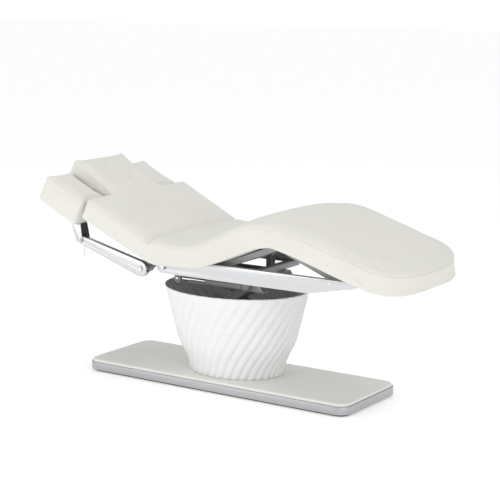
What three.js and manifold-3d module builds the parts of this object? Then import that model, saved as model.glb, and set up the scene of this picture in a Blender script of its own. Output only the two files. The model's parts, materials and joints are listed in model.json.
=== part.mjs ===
// A powered treatment and examination couch on a fluted pedestal.
// Millimetres, +Z up, +X towards the feet. The origin is the centre of the base, on the floor.
// "Left" is the -Y side and "right" the +Y side.

import * as THREE from "three";
import { mergeVertices } from "three/addons/utils/BufferGeometryUtils.js";
import Module from "manifold-3d";

const wasm = await Module();
wasm.setup();

const rad = THREE.MathUtils.degToRad;

// ---------- driving dimensions ----------
const TOUCH = 0.3; // between faces that touch
const PIN_CLEARANCE = 0.4; // around a shaft in its bore
const SIDE_CLEARANCE = 2; // between plates that turn past each other

// Base
const BASE_LENGTH = 1535;
const BASE_WIDTH = 500;
const BASE_CORNER = 65;
const FLOOR_PAD_HEIGHT = 10;
const FLOOR_PAD_INSET = 18;
const TRIM_WALL = 4;
const TRIM_HEIGHT = 38;
const MAT_HEIGHT = 14;
const MAT_INSET = 7;
const MAT_EDGE = 7;
const INLET_WIDTH = 50;
const INLET_HEIGHT = 26;
const INLET_DEPTH = 32;

// Fluted cover
const COVER_HEIGHT = 424;
const COVER_X = -6; // its centre
const COVER_FOOT_RADIUS = 252;
const COVER_NECK_RADIUS = 340; // where the rim starts to flare
const COVER_RIM_RADIUS = 382;
const COVER_OVAL = 0.785; // width over length
const COVER_FLUTES = 36;
const COVER_TWIST = rad(45);
const FLUTE_DEPTH = 10;
const COVER_WALL = 5;

// Scissor lift
const LIFT_ARM_HALF_WIDTH = 21;
const LIFT_ARM_WALL = 7;
const LIFT_ANGLE = Math.asin(0.55);
const LIFT_LOWER = rad(3.7); // arm angle given up at the lowest height
const LIFT_RAISE = rad(21); // and gained at the highest
const LIFT_PIVOT_X = -178;
const LIFT_TRACK_HALF_WIDTH = 90;
const LIFT_OUTER_ARM_Y = 58; // outer face
const LIFT_SHAFT_RADIUS = 10;
const LIFT_ROLLER_RADIUS = 22;
const LIFT_TRACK_WALL = 5;
const LIFT_TUBE_RADIUS = 11;
const LIFT_TUBE_PLACE = 80; // from the lower pivot, along the arm
const LIFT_BASE_PLATE = 6;
const LIFT_ACTUATOR_RADIUS = 21;
const LIFT_ROD_SLOT = 10; // free travel at each side of the shaft in the rod's eye
const LIFT_ROD_STROKE = 100; // from rest to the highest position

// Upper frame
const BEAM_HALF_WIDTH = 150;
const BEAM_FLANGE = 54;
const BEAM_DEPTH = 61;
const BEAM_LENGTH = 445;
const BEAM_SLANT = 38;
const BEAM_BELOW_RAIL = 8.5; // beam top to rail bottom
const RAIL_OUTER_Y = 305;
const RAIL_DEPTH = 30;
const RAIL_WALL = 4;
const RAIL_HEIGHT = 74;
const RAIL_START = -263;
const RAIL_END = 839;
const RAIL_TOP = 650;
const RAIL_TAPER = 240;
const RAIL_TAPER_RISE = 48;
const CROSS_TUBE_WIDTH = 40;
const CROSS_TUBE_HEIGHT = 30;
const CROSS_TUBE_REACH = 165;

// Back section, drawn level about its pivot and then raised
const BACK_PIVOT = [-229, 607];
const BACK_ANGLE = rad(25.5);
const BACK_OPENING = rad(52); // cleared by the end of the cushion, from its own upright
const BACK_LENGTH = 489; // pivot to the head end of the wide part
const TONGUE_LENGTH = 296;
const TONGUE_WIDTH = 392;
const TONGUE_RISE = 24; // of its top at the tip, above the back
const BACK_TOP = 109;
const BACK_UNDER_FOOT = 14;
const BACK_UNDER_HEAD = 2;
const BOARD = 12;
const BOARD_HALF_WIDTH = 300; // boards of the back and the seat
const HINGE_PLATE_Y = 270; // outer face
const HINGE_PLATE = 8;
const PLUG_LENGTH = 170;
const PLUG_WIDTH = 120;
const PLUG_FROM_TIP = 141;
const PLUG_GAP = 3;

// Armrests beside the tongue
const ARMREST_LENGTH = 270;
const ARMREST_GAP = 15; // from the wide part of the back
const ARMREST_SIDE_GAP = 5; // from the tongue
const ARMREST_TOP = 83;
const ARMREST_THICKNESS = 133;
const SWING_ARM_Y = 340; // outer face
const SWING_ARM_DEPTH = 28;
const SWING_ARM_WALL = 4;
const SWING_LOWER = [-92, -64];
const SWING_UPPER = [-477, -129];
const SWING_LOWER_RADIUS = 38;
const SWING_UPPER_RADIUS = 20;
const LEVER_LENGTH = 45;
const LEVER_RADIUS = 3;

// Cushions
const CUSHION_WIDTH = 790;
const FOOT_WIDTH = 765;
const CUSHION_EDGE = 20;
const FOOT_ROUND = 180; // length of the rounded foot end
const FOOT_FULLNESS = 2.5; // 2 is an ellipse, more is squarer
const TOE_ROUND = 38;
const WAVE_END = 1084;
const SEAT_START = -228;

// Leg section: two equal links, a pivot at each end and the knee between
const LINK_Z = 634;
const THIGH_PIVOT_X = 80;
const LINK_HALF_SPAN = 318;
const KNEE_RISE = 125;
const LEG_FLATTEN = rad(19);
const LEG_RAISE = rad(3);
const LINK_HALF_WIDTH = 14;
const LINK_PLATE = 8;
const THIGH_PLATE_Y = 252; // outer face
const KNEE_SHAFT_RADIUS = 9;
const LEG_ROLLER_RADIUS = 11;
const LEG_ROLLER_SHAFT_RADIUS = 8;
const CALF_BOARD_END = 930;

// Actuators of the back and the legs
const ACTUATOR_Y = 172;
const ACTUATOR_RADIUS = 20;
const ACTUATOR_ROD_RADIUS = 9;
const LEVER_DROP = 75;
const LEG_LEVER_DROP = 124;
const LEVER_PLATE = 6;
const ROD_EYE = 12; // thickness
const ROD_PIN_RADIUS = 6;
const LEVER_SLOT = 30;

// ---------- places worked out from them ----------
const trimBottom = FLOOR_PAD_HEIGHT + TOUCH;
const trimTop = trimBottom + TRIM_HEIGHT;
const matBottom = trimTop + TOUCH;
const matTop = matBottom + MAT_HEIGHT;
const coverBottom = matTop + TOUCH;
const liftBaseBottom = matTop + TOUCH;
const liftPivotZ = liftBaseBottom + LIFT_BASE_PLATE + 9 + LIFT_ROLLER_RADIUS + TOUCH;
const railBottom = RAIL_TOP - RAIL_HEIGHT;
const beamTop = railBottom - BEAM_BELOW_RAIL;
const liftTopZ = beamTop - LIFT_ROLLER_RADIUS - TOUCH - LIFT_TRACK_WALL;
const liftStage = (liftTopZ - liftPivotZ) / 2;
const liftMidZ = liftPivotZ + liftStage;
const liftArmLength = liftStage / Math.sin(LIFT_ANGLE); // between the end pivots
const liftSpan = liftArmLength * Math.cos(LIFT_ANGLE);
const liftInnerArmY = LIFT_OUTER_ARM_Y - LIFT_ARM_WALL - SIDE_CLEARANCE - 1;
const railInnerY = RAIL_OUTER_Y - RAIL_DEPTH;
const kneeX = THIGH_PIVOT_X + LINK_HALF_SPAN;
const kneeZ = LINK_Z + KNEE_RISE;
const legRollerX = THIGH_PIVOT_X + 2 * LINK_HALF_SPAN;
const linkLength = Math.hypot(LINK_HALF_SPAN, KNEE_RISE);
const linkAngle = Math.atan2(KNEE_RISE, LINK_HALF_SPAN);
const calfPlateY = THIGH_PLATE_Y - LINK_PLATE - SIDE_CLEARANCE - 1;
const tongueTip = -(BACK_LENGTH + TONGUE_LENGTH);
const halfCushion = CUSHION_WIDTH / 2;

// ---------- materials ----------
function material(color, roughness, metalness = 0) {
  return new THREE.MeshStandardMaterial({ color, roughness, metalness });
}
const ivory = material(0xe9e7de, 0.55);
const matGrey = material(0xd6d3cb, 0.6);
const white = material(0xf4f4f2, 0.35);
const silver = material(0xc9cacb, 0.35, 0.8);
const darkSteel = material(0x4c4e50, 0.5, 0.6);
const grey = material(0x8b8d8f, 0.4, 0.5);
const black = material(0x1d1e20, 0.6);
const plywood = material(0x55575a, 0.7);

// ---------- geometry helpers ----------
function solidOf(geometry) {
  const bare = geometry.clone();
  bare.deleteAttribute("normal");
  bare.deleteAttribute("uv");
  const merged = mergeVertices(bare, 1e-4);
  return new wasm.Manifold(
    new wasm.Mesh({
      numProp: 3,
      vertProperties: new Float32Array(merged.attributes.position.array),
      triVerts: new Uint32Array(merged.index.array),
    }),
  );
}

function geometryOf(solid) {
  const mesh = solid.getMesh();
  const geometry = new THREE.BufferGeometry();
  geometry.setAttribute("position", new THREE.BufferAttribute(mesh.vertProperties, 3));
  geometry.setIndex(new THREE.BufferAttribute(mesh.triVerts, 1));
  geometry.computeVertexNormals();
  return geometry;
}

function join(first, ...others) {
  return geometryOf(others.reduce((sum, g) => sum.add(solidOf(g)), solidOf(first)));
}

function cut(first, ...others) {
  return geometryOf(others.reduce((rest, g) => rest.subtract(solidOf(g)), solidOf(first)));
}

function common(first, second) {
  return geometryOf(solidOf(first).intersect(solidOf(second)));
}

// An outline whose corners are rounded; each point is [x, z] or [x, z, radius].
function rounded(points, radius = 0, steps = 5) {
  const outline = [];
  points.forEach(([x, z, own = radius], i) => {
    const corner = new THREE.Vector2(x, z);
    if (own === 0) {
      outline.push(corner);
      return;
    }
    const before = points[(i + points.length - 1) % points.length];
    const after = points[(i + 1) % points.length];
    const toBefore = new THREE.Vector2(before[0] - x, before[1] - z);
    const toAfter = new THREE.Vector2(after[0] - x, after[1] - z);
    const room = 0.48 * Math.min(toBefore.length(), toAfter.length());
    toBefore.normalize();
    toAfter.normalize();
    const half = Math.acos(THREE.MathUtils.clamp(toBefore.dot(toAfter), -1, 1)) / 2;
    const reach = Math.min(own / Math.tan(half), room);
    const arcRadius = reach * Math.tan(half);
    const centre = toBefore.clone().add(toAfter).normalize();
    centre.multiplyScalar(Math.hypot(reach, arcRadius)).add(corner);
    const start = toBefore.multiplyScalar(reach).add(corner).sub(centre);
    const end = toAfter.multiplyScalar(reach).add(corner).sub(centre);
    const turn = Math.atan2(start.cross(end), start.dot(end));
    for (let k = 0; k <= steps; k++) {
      const step = start.clone().rotateAround(new THREE.Vector2(), (turn * k) / steps);
      outline.push(step.add(centre));
    }
  });
  return outline;
}

function roundedRectangle(width, height, radius, steps = 6) {
  const w = width / 2;
  const h = height / 2;
  return rounded([[-w, -h], [w, -h], [w, h], [-w, h]], radius, steps);
}

function circle(x, z, radius, segments = 16) {
  return Array.from({ length: segments }, (_, k) => {
    const angle = (2 * Math.PI * k) / segments;
    return new THREE.Vector2(x + radius * Math.cos(angle), z + radius * Math.sin(angle));
  });
}

// The outline of a belt around two circles.
function belt([x1, z1], r1, [x2, z2], r2, steps = 6) {
  const along = Math.atan2(z2 - z1, x2 - x1);
  const lean = Math.acos((r1 - r2) / Math.hypot(x2 - x1, z2 - z1));
  const outline = [];
  const arc = (x, z, r, from, to) => {
    for (let k = 0; k <= steps; k++) {
      const angle = from + ((to - from) * k) / steps;
      outline.push(new THREE.Vector2(x + r * Math.cos(angle), z + r * Math.sin(angle)));
    }
  };
  arc(x1, z1, r1, along + lean, along + 2 * Math.PI - lean);
  arc(x2, z2, r2, along - lean, along + lean);
  return outline;
}

// An outline in the side view, extruded across the couch between two Y places.
function across(outline, y0, y1, { holes = [], edge = 0, edgeSteps = 3 } = {}) {
  const shape = new THREE.Shape(outline);
  holes.forEach((hole) => shape.holes.push(new THREE.Path(hole)));
  const low = Math.min(y0, y1);
  const high = Math.max(y0, y1);
  const geometry = new THREE.ExtrudeGeometry(shape, {
    depth: high - low - 2 * edge,
    bevelEnabled: edge > 0,
    bevelThickness: edge,
    bevelSize: edge,
    bevelOffset: -edge,
    bevelSegments: edgeSteps,
  });
  return geometry.rotateX(Math.PI / 2).translate(0, high - edge, 0);
}

// An outline in the plan, extruded upwards between two heights, its top edge rounded if asked.
function upright(outline, z0, z1, { holes = [], edge = 0 } = {}) {
  const shape = new THREE.Shape(outline);
  holes.forEach((hole) => shape.holes.push(new THREE.Path(hole)));
  const geometry = new THREE.ExtrudeGeometry(shape, {
    depth: z1 - z0 - 2 * edge,
    bevelEnabled: edge > 0,
    bevelThickness: edge,
    bevelSize: edge,
    bevelOffset: -edge,
    bevelSegments: 3,
  });
  return geometry.translate(0, 0, z0 + edge);
}

function box(x0, x1, y0, y1, z0, z1) {
  const geometry = new THREE.BoxGeometry(x1 - x0, y1 - y0, z1 - z0);
  return geometry.translate((x0 + x1) / 2, (y0 + y1) / 2, (z0 + z1) / 2);
}

// A turned piece along Y through [x, z]; its steps are [y, radius] from -Y to +Y.
function turned([x, z], steps, segments = 16) {
  const profile = [new THREE.Vector2(0, steps[0][0])];
  steps.forEach(([y, radius]) => profile.push(new THREE.Vector2(radius, y)));
  profile.push(new THREE.Vector2(0, steps[steps.length - 1][0]));
  return new THREE.LatheGeometry(profile, segments).translate(x, 0, z);
}

function shaft(place, y0, y1, radius, segments = 16) {
  return turned(place, [[y0, radius], [y1, radius]], segments);
}

// A round bar along X.
function barAlongX(x0, x1, y, z, radius, segments = 20) {
  const geometry = new THREE.CylinderGeometry(radius, radius, x1 - x0, segments);
  return geometry.rotateZ(-Math.PI / 2).translate((x0 + x1) / 2, y, z);
}

// A closed skin over rings of equal length, the last ring joined to the first.
function skin(rings) {
  const count = rings[0].length;
  const positions = rings.flat(2);
  const index = [];
  rings.forEach((_, j) => {
    const next = (j + 1) % rings.length;
    for (let i = 0; i < count; i++) {
      const k = (i + 1) % count;
      const a = j * count + i;
      const b = j * count + k;
      const c = next * count + k;
      const d = next * count + i;
      index.push(a, b, c, a, c, d);
    }
  });
  const geometry = new THREE.BufferGeometry();
  geometry.setAttribute("position", new THREE.Float32BufferAttribute(positions, 3));
  geometry.setIndex(index);
  geometry.computeVertexNormals();
  return geometry;
}

// A closed skin along rings of equal length, with a flat cap at each end.
function loft(rings) {
  const count = rings[0].length;
  const middle = (ring) => [0, 1, 2].map((axis) => ring.reduce((sum, p) => sum + p[axis], 0) / count);
  const positions = [...rings.flat(2), ...middle(rings[0]), ...middle(rings[rings.length - 1])];
  const first = count * rings.length;
  const last = first + 1;
  const lastRing = count * (rings.length - 1);
  const index = [];
  for (let i = 0; i < count; i++) {
    const k = (i + 1) % count;
    for (let j = 0; j < rings.length - 1; j++) {
      const [a, b, c, d] = [j * count + i, j * count + k, (j + 1) * count + k, (j + 1) * count + i];
      index.push(a, b, c, a, c, d);
    }
    index.push(first, k, i, last, lastRing + i, lastRing + k);
  }
  const geometry = new THREE.BufferGeometry();
  geometry.setAttribute("position", new THREE.Float32BufferAttribute(positions, 3));
  geometry.setIndex(index);
  geometry.computeVertexNormals();
  return geometry;
}

const couch = new THREE.Group();

function place(name, geometry, look, parent = couch) {
  const mesh = new THREE.Mesh(geometry, look);
  mesh.name = name;
  parent.add(mesh);
  return mesh;
}

// ---------- base ----------
function makeBase() {
  const padOutline = roundedRectangle(
    BASE_LENGTH - 2 * FLOOR_PAD_INSET,
    BASE_WIDTH - 2 * FLOOR_PAD_INSET,
    BASE_CORNER - FLOOR_PAD_INSET,
  );
  place("floor_pad", upright(padOutline, 0, FLOOR_PAD_HEIGHT), black);

  const inletX = -BASE_LENGTH / 2;
  const inletMiddle = (trimBottom + trimTop) / 2;
  const inletBox = (grow) =>
    box(
      inletX - 1,
      inletX + INLET_DEPTH + grow,
      -INLET_WIDTH / 2 - grow,
      INLET_WIDTH / 2 + grow,
      inletMiddle - INLET_HEIGHT / 2 - grow,
      inletMiddle + INLET_HEIGHT / 2 + grow,
    );

  const trimOuter = roundedRectangle(BASE_LENGTH, BASE_WIDTH, BASE_CORNER);
  const trimInner = roundedRectangle(
    BASE_LENGTH - 2 * TRIM_WALL,
    BASE_WIDTH - 2 * TRIM_WALL,
    BASE_CORNER - TRIM_WALL,
  );
  const trim = upright(trimOuter, trimBottom, trimTop, { holes: [trimInner] });
  place("base_trim", cut(trim, inletBox(TOUCH)), silver);

  const plateOutline = roundedRectangle(
    BASE_LENGTH - 2 * (TRIM_WALL + TOUCH),
    BASE_WIDTH - 2 * (TRIM_WALL + TOUCH),
    BASE_CORNER - TRIM_WALL - TOUCH,
  );
  const plate = upright(plateOutline, trimBottom, trimTop - TOUCH);
  place("base_plate", cut(plate, inletBox(TOUCH)), darkSteel);

  const matOutline = roundedRectangle(
    BASE_LENGTH - 2 * MAT_INSET,
    BASE_WIDTH - 2 * MAT_INSET,
    BASE_CORNER - MAT_INSET,
  );
  const mat = upright(matOutline, matBottom - MAT_EDGE, matTop, { edge: MAT_EDGE });
  const belowMat = box(-BASE_LENGTH, BASE_LENGTH, -BASE_WIDTH, BASE_WIDTH, 0, matBottom);
  place("base_mat", cut(mat, belowMat), matGrey);

  const socket = box(
    inletX - 2,
    inletX + 20,
    -14,
    14,
    inletMiddle - 9.5,
    inletMiddle + 9.5,
  );
  const pins = [-8, 0, 8].map((y) => {
    const lift = y === 0 ? 3 : -2;
    return box(
      inletX + 6,
      inletX + 21,
      y - 2,
      y + 2,
      inletMiddle + lift - 1,
      inletMiddle + lift + 1,
    );
  });
  place("power_inlet", join(cut(inletBox(0), socket), ...pins), black);
}

// ---------- fluted cover ----------
function makeCover() {
  const sweep = new THREE.SplineCurve([
    new THREE.Vector2(COVER_FOOT_RADIUS, 0),
    new THREE.Vector2(COVER_FOOT_RADIUS + 12, 0.15),
    new THREE.Vector2(COVER_NECK_RADIUS - 28, 0.38),
    new THREE.Vector2(COVER_NECK_RADIUS, 0.61),
    new THREE.Vector2(COVER_RIM_RADIUS, 1),
  ]);
  const levels = 6;
  const perFlute = 4;
  const count = COVER_FLUTES * perFlute;
  const ring = (share, inset) => {
    const { x: radius, y: height } = sweep.getPoint(share);
    return Array.from({ length: count }, (_, i) => {
      const lobe = Math.sin((Math.PI * (i % perFlute)) / perFlute);
      const hollow = inset > 0 ? 0 : FLUTE_DEPTH * (1 - lobe);
      const angle = (2 * Math.PI * i) / count + COVER_TWIST * height;
      const reach = radius - hollow - inset;
      return [
        COVER_X + reach * Math.cos(angle),
        COVER_OVAL * reach * Math.sin(angle),
        coverBottom + COVER_HEIGHT * height,
      ];
    });
  };
  const shares = Array.from({ length: levels + 1 }, (_, k) => k / levels);
  const outside = shares.map((share) => ring(share, 0));
  const inside = shares.map((share) => ring(share, FLUTE_DEPTH + COVER_WALL)).reverse();
  place("base_cover", skin([...outside, ...inside]), white);
}

// ---------- scissor lift ----------
// A welded arm: two plates joined by a tube, drawn along +X from its lower pivot.
function liftArm(outerY, bores) {
  const holes = bores.map((x) => circle(x, 0, LIFT_SHAFT_RADIUS + PIN_CLEARANCE));
  const plate = (side) =>
    across(
      belt([0, 0], LIFT_ARM_HALF_WIDTH, [liftArmLength, 0], LIFT_ARM_HALF_WIDTH),
      side * outerY,
      side * (outerY - LIFT_ARM_WALL),
      { holes },
    );
  const tube = shaft([LIFT_TUBE_PLACE, 0], -outerY + 1, outerY - 1, LIFT_TUBE_RADIUS);
  return join(plate(-1), plate(1), tube);
}

function makeLift() {
  const trackTop = liftPivotZ + LIFT_ROLLER_RADIUS + TOUCH + LIFT_TRACK_WALL;
  const floorTop = liftPivotZ - LIFT_ROLLER_RADIUS - TOUCH;
  const lowestSpan = liftArmLength * Math.cos(LIFT_ANGLE - LIFT_LOWER);
  const trackEnd = LIFT_PIVOT_X + lowestSpan + LIFT_ROLLER_RADIUS + 3;
  const trackStart = LIFT_PIVOT_X - LIFT_ROLLER_RADIUS - 3;
  const trackInner = LIFT_OUTER_ARM_Y + SIDE_CLEARANCE;

  const channel = (side) => {
    const [webIn, webOut] = [LIFT_TRACK_HALF_WIDTH - LIFT_TRACK_WALL, LIFT_TRACK_HALF_WIDTH];
    const whole = box(
      trackStart,
      trackEnd,
      Math.min(side * trackInner, side * webOut),
      Math.max(side * trackInner, side * webOut),
      liftBaseBottom,
      trackTop,
    );
    const inside = box(
      trackStart - 1,
      trackEnd + 1,
      Math.min(side * (trackInner - 1), side * webIn),
      Math.max(side * (trackInner - 1), side * webIn),
      floorTop,
      trackTop - LIFT_TRACK_WALL,
    );
    return cut(whole, inside);
  };
  const plate = box(
    trackStart,
    trackEnd,
    -LIFT_TRACK_HALF_WIDTH,
    LIFT_TRACK_HALF_WIDTH,
    liftBaseBottom,
    liftBaseBottom + LIFT_BASE_PLATE,
  );
  place("lift_base", join(plate, channel(-1), channel(1)), darkSteel);

  const [low, mid, high] = [liftPivotZ, liftMidZ, liftTopZ];
  const farX = LIFT_PIVOT_X + liftSpan;
  const middleX = LIFT_PIVOT_X + liftSpan / 2;
  const middle = liftArmLength / 2;
  const bores = [0, middle, liftArmLength];
  const outer = (name, z) => {
    const arm = place(name, liftArm(LIFT_OUTER_ARM_Y, bores), darkSteel);
    arm.position.set(LIFT_PIVOT_X, 0, z);
    arm.rotation.y = -LIFT_ANGLE;
  };
  const inner = (name, z) => {
    const arm = place(name, liftArm(liftInnerArmY, bores), darkSteel);
    arm.position.set(farX, 0, z);
    arm.rotation.y = -(Math.PI - LIFT_ANGLE);
  };
  outer("lift_arm_lower_outer", low);
  inner("lift_arm_lower_inner", low);
  outer("lift_arm_upper_outer", mid);
  inner("lift_arm_upper_inner", mid);

  const r = LIFT_SHAFT_RADIUS;
  const armReach = LIFT_OUTER_ARM_Y + 4;
  const webIn = LIFT_TRACK_HALF_WIDTH - LIFT_TRACK_WALL - TOUCH;
  const beamWebIn = BEAM_HALF_WIDTH - LIFT_TRACK_WALL - TOUCH;
  const rollerShaft = (at, reach, rollerIn) =>
    turned(at, [
      [-reach, LIFT_ROLLER_RADIUS],
      [-rollerIn, LIFT_ROLLER_RADIUS],
      [-rollerIn, r],
      [rollerIn, r],
      [rollerIn, LIFT_ROLLER_RADIUS],
      [reach, LIFT_ROLLER_RADIUS],
    ]);
  place("lift_base_shaft", shaft([LIFT_PIVOT_X, low], -webIn, webIn, r), grey);
  place("lift_lower_roller_shaft", rollerShaft([farX, low], webIn - 2, 64), grey);
  place("lift_lower_centre_shaft", shaft([middleX, low + liftStage / 2], -armReach, armReach, r), grey);
  place("lift_middle_shaft_head", shaft([LIFT_PIVOT_X, mid], -armReach, armReach, r), grey);
  place("lift_middle_shaft_foot", shaft([farX, mid], -armReach, armReach, r), grey);
  place("lift_upper_centre_shaft", shaft([middleX, mid + liftStage / 2], -armReach, armReach, r), grey);
  place("lift_top_shaft", shaft([LIFT_PIVOT_X, high], -beamWebIn, beamWebIn, r), grey);
  place("lift_upper_roller_shaft", rollerShaft([farX, high], beamWebIn - 2, 110), grey);

  // The lift's actuator lies on the base and pulls the lower roller shaft.
  const tubeStart = LIFT_PIVOT_X + r + 2;
  const tubeEnd = LIFT_PIVOT_X + liftArmLength * Math.cos(LIFT_ANGLE + LIFT_RAISE) - 40;
  const boreRadius = ACTUATOR_ROD_RADIUS + PIN_CLEARANCE;
  const tube = barAlongX(tubeStart, tubeEnd, 0, low, LIFT_ACTUATOR_RADIUS);
  const boreStart = tubeStart + LIFT_TRACK_WALL;
  const bore = barAlongX(boreStart, tubeEnd + 1, 0, low, boreRadius);
  const post = box(tubeStart, tubeStart + 40, -14, 14, floorTop - 8, low - LIFT_ACTUATOR_RADIUS + 6);
  place("lift_actuator_body", join(cut(tube, bore), post), grey);
  const rodStart = boreStart + LIFT_ROD_STROKE;
  const rodEnd = farX - LIFT_ROD_SLOT - r - PIN_CLEARANCE - 3;
  const rod = barAlongX(rodStart, rodEnd, 0, low, ACTUATOR_ROD_RADIUS);
  const eyeHalf = r + PIN_CLEARANCE + 6;
  const eye = across(
    belt(
      [farX - LIFT_ROD_SLOT, low],
      eyeHalf,
      [farX + LIFT_ROD_SLOT, low],
      eyeHalf,
    ),
    -ROD_EYE / 2,
    ROD_EYE / 2,
    {
      holes: [
        belt(
          [farX - LIFT_ROD_SLOT, low],
          r + PIN_CLEARANCE,
          [farX + LIFT_ROD_SLOT, low],
          r + PIN_CLEARANCE,
        ),
      ],
    },
  );
  place("lift_actuator_rod", join(rod, eye), silver);
}

// ---------- upper frame ----------
function makeUpperFrame() {
  const beamBottom = beamTop - BEAM_DEPTH;
  const start = LIFT_PIVOT_X - 55;
  const slanted = (wall, grow) => [
    [start - grow, beamTop - wall],
    [start + BEAM_SLANT - grow, beamBottom + wall],
    [start + BEAM_SLANT + BEAM_LENGTH + grow, beamBottom + wall],
    [start + BEAM_LENGTH + grow, beamTop - wall],
  ];
  [["lift_beam_left", -1], ["lift_beam_right", 1]].forEach(([name, side]) => {
    const inner = BEAM_HALF_WIDTH - BEAM_FLANGE;
    const whole = across(rounded(slanted(0, 0)), side * inner, side * BEAM_HALF_WIDTH);
    const inside = across(
      rounded(slanted(LIFT_TRACK_WALL, 60)),
      side * (inner - 1),
      side * (BEAM_HALF_WIDTH - LIFT_TRACK_WALL),
    );
    place(name, cut(whole, inside), darkSteel);
  });

  const tubeBottom = beamTop + TOUCH;
  const tubeReach = railInnerY - TOUCH;
  [["cross_tube_head", -1], ["cross_tube_foot", 1]].forEach(([name, side]) => {
    const x = side * CROSS_TUBE_REACH;
    const tube = box(
      x - CROSS_TUBE_WIDTH / 2,
      x + CROSS_TUBE_WIDTH / 2,
      -tubeReach,
      tubeReach,
      tubeBottom,
      tubeBottom + CROSS_TUBE_HEIGHT,
    );
    place(name, tube, darkSteel);
  });

  const railOutline = (inset) => {
    const end = RAIL_END - inset;
    const taperStart = RAIL_END - RAIL_TAPER;
    return rounded(
      [
        [RAIL_START + inset, railBottom + inset, 30],
        [taperStart, railBottom + inset, 0],
        [end, railBottom + RAIL_TAPER_RISE + inset, 5],
        [end, RAIL_TOP - inset, 5],
        [RAIL_START + inset, RAIL_TOP - inset, 30],
      ],
      0,
      6,
    );
  };
  const ledgeTop = LINK_Z - LEG_ROLLER_RADIUS - TOUCH;
  [["side_rail_left", -1], ["side_rail_right", 1]].forEach(([name, side]) => {
    const web = side * (RAIL_OUTER_Y - RAIL_WALL);
    const bore = shaft(BACK_PIVOT, -RAIL_OUTER_Y - 5, RAIL_OUTER_Y + 5, LIFT_SHAFT_RADIUS + PIN_CLEARANCE);
    const profile = cut(
      across(railOutline(0), side * railInnerY, side * RAIL_OUTER_Y),
      across(railOutline(RAIL_WALL), side * (railInnerY - 1), web),
      bore,
    );
    const ledge = box(
      legRollerX - 105,
      legRollerX + 70,
      Math.min(side * (railInnerY + 2), web + side),
      Math.max(side * (railInnerY + 2), web + side),
      ledgeTop - RAIL_WALL,
      ledgeTop,
    );
    place(name, join(profile, ledge), silver);
  });

  const backShaftReach = RAIL_OUTER_Y + 6;
  place("back_pivot_shaft", shaft(BACK_PIVOT, -backShaftReach, backShaftReach, LIFT_SHAFT_RADIUS), grey);
  const thighShaftReach = RAIL_OUTER_Y - RAIL_WALL - TOUCH;
  place(
    "thigh_pivot_shaft",
    shaft([THIGH_PIVOT_X, LINK_Z], -thighShaftReach, thighShaftReach, LIFT_SHAFT_RADIUS),
    grey,
  );

  const boardEnd = THIGH_PIVOT_X - 18;
  const boardOutline = roundedRectangle(boardEnd - SEAT_START, 2 * BOARD_HALF_WIDTH, 20);
  const board = upright(boardOutline, RAIL_TOP + TOUCH, RAIL_TOP + TOUCH + BOARD);
  board.translate((boardEnd + SEAT_START) / 2, 0, 0);
  place("seat_board", board, plywood);
}

// ---------- cushions of the seat and the legs ----------
// The height of a smooth curve through points, at any x between its ends.
function heightThrough(points) {
  const curve = new THREE.SplineCurve(points.map(([x, z]) => new THREE.Vector2(x, z)));
  const samples = curve.getPoints(240);
  return (x) => {
    const after = Math.max(1, samples.findIndex((p) => p.x >= x));
    const [p, q] = [samples[after - 1], samples[after]];
    return p.y + ((q.y - p.y) * (x - p.x)) / (q.x - p.x);
  };
}

const waveTop = heightThrough([
  [-330, 752],
  [-228, 743],
  [-120, 739],
  [-10, 746],
  [60, 767],
  [215, 837],
  [310, 872],
  [400, 881],
  [511, 870],
  [700, 817],
  [913, 755],
  [1100, 695],
]);
const waveUnder = heightThrough([
  [-330, 636],
  [-145, 630],
  [27, 642],
  [110, 667],
  [183, 695],
  [335, 757],
  [430, 779],
  [480, 772],
  [557, 752],
  [691, 712],
  [904, 645],
  [1100, 590],
]);

// How far a rounded end of the given radius draws in at a distance from its tip.
function drawIn(radius, fromTip) {
  const inside = Math.max(0, radius - fromTip);
  return radius - Math.sqrt(radius * radius - inside * inside);
}

// The share of its width that the foot end keeps at a distance from its tip.
function footShare(fromTip) {
  const along = Math.max(0, 1 - fromTip / FOOT_ROUND);
  return (1 - along ** FOOT_FULLNESS) ** (1 / FOOT_FULLNESS);
}

// A wedge of the side view with its tip at a pivot, between two directions from upright.
function wedge([x, z], from, to) {
  const reach = 1600;
  const steps = 6;
  const points = [new THREE.Vector2(x, z)];
  for (let k = 0; k <= steps; k++) {
    const angle = from + ((to - from) * k) / steps;
    points.push(new THREE.Vector2(x + reach * Math.sin(angle), z + reach * Math.cos(angle)));
  }
  return across(points, -CUSHION_WIDTH, CUSHION_WIDTH);
}

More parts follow.
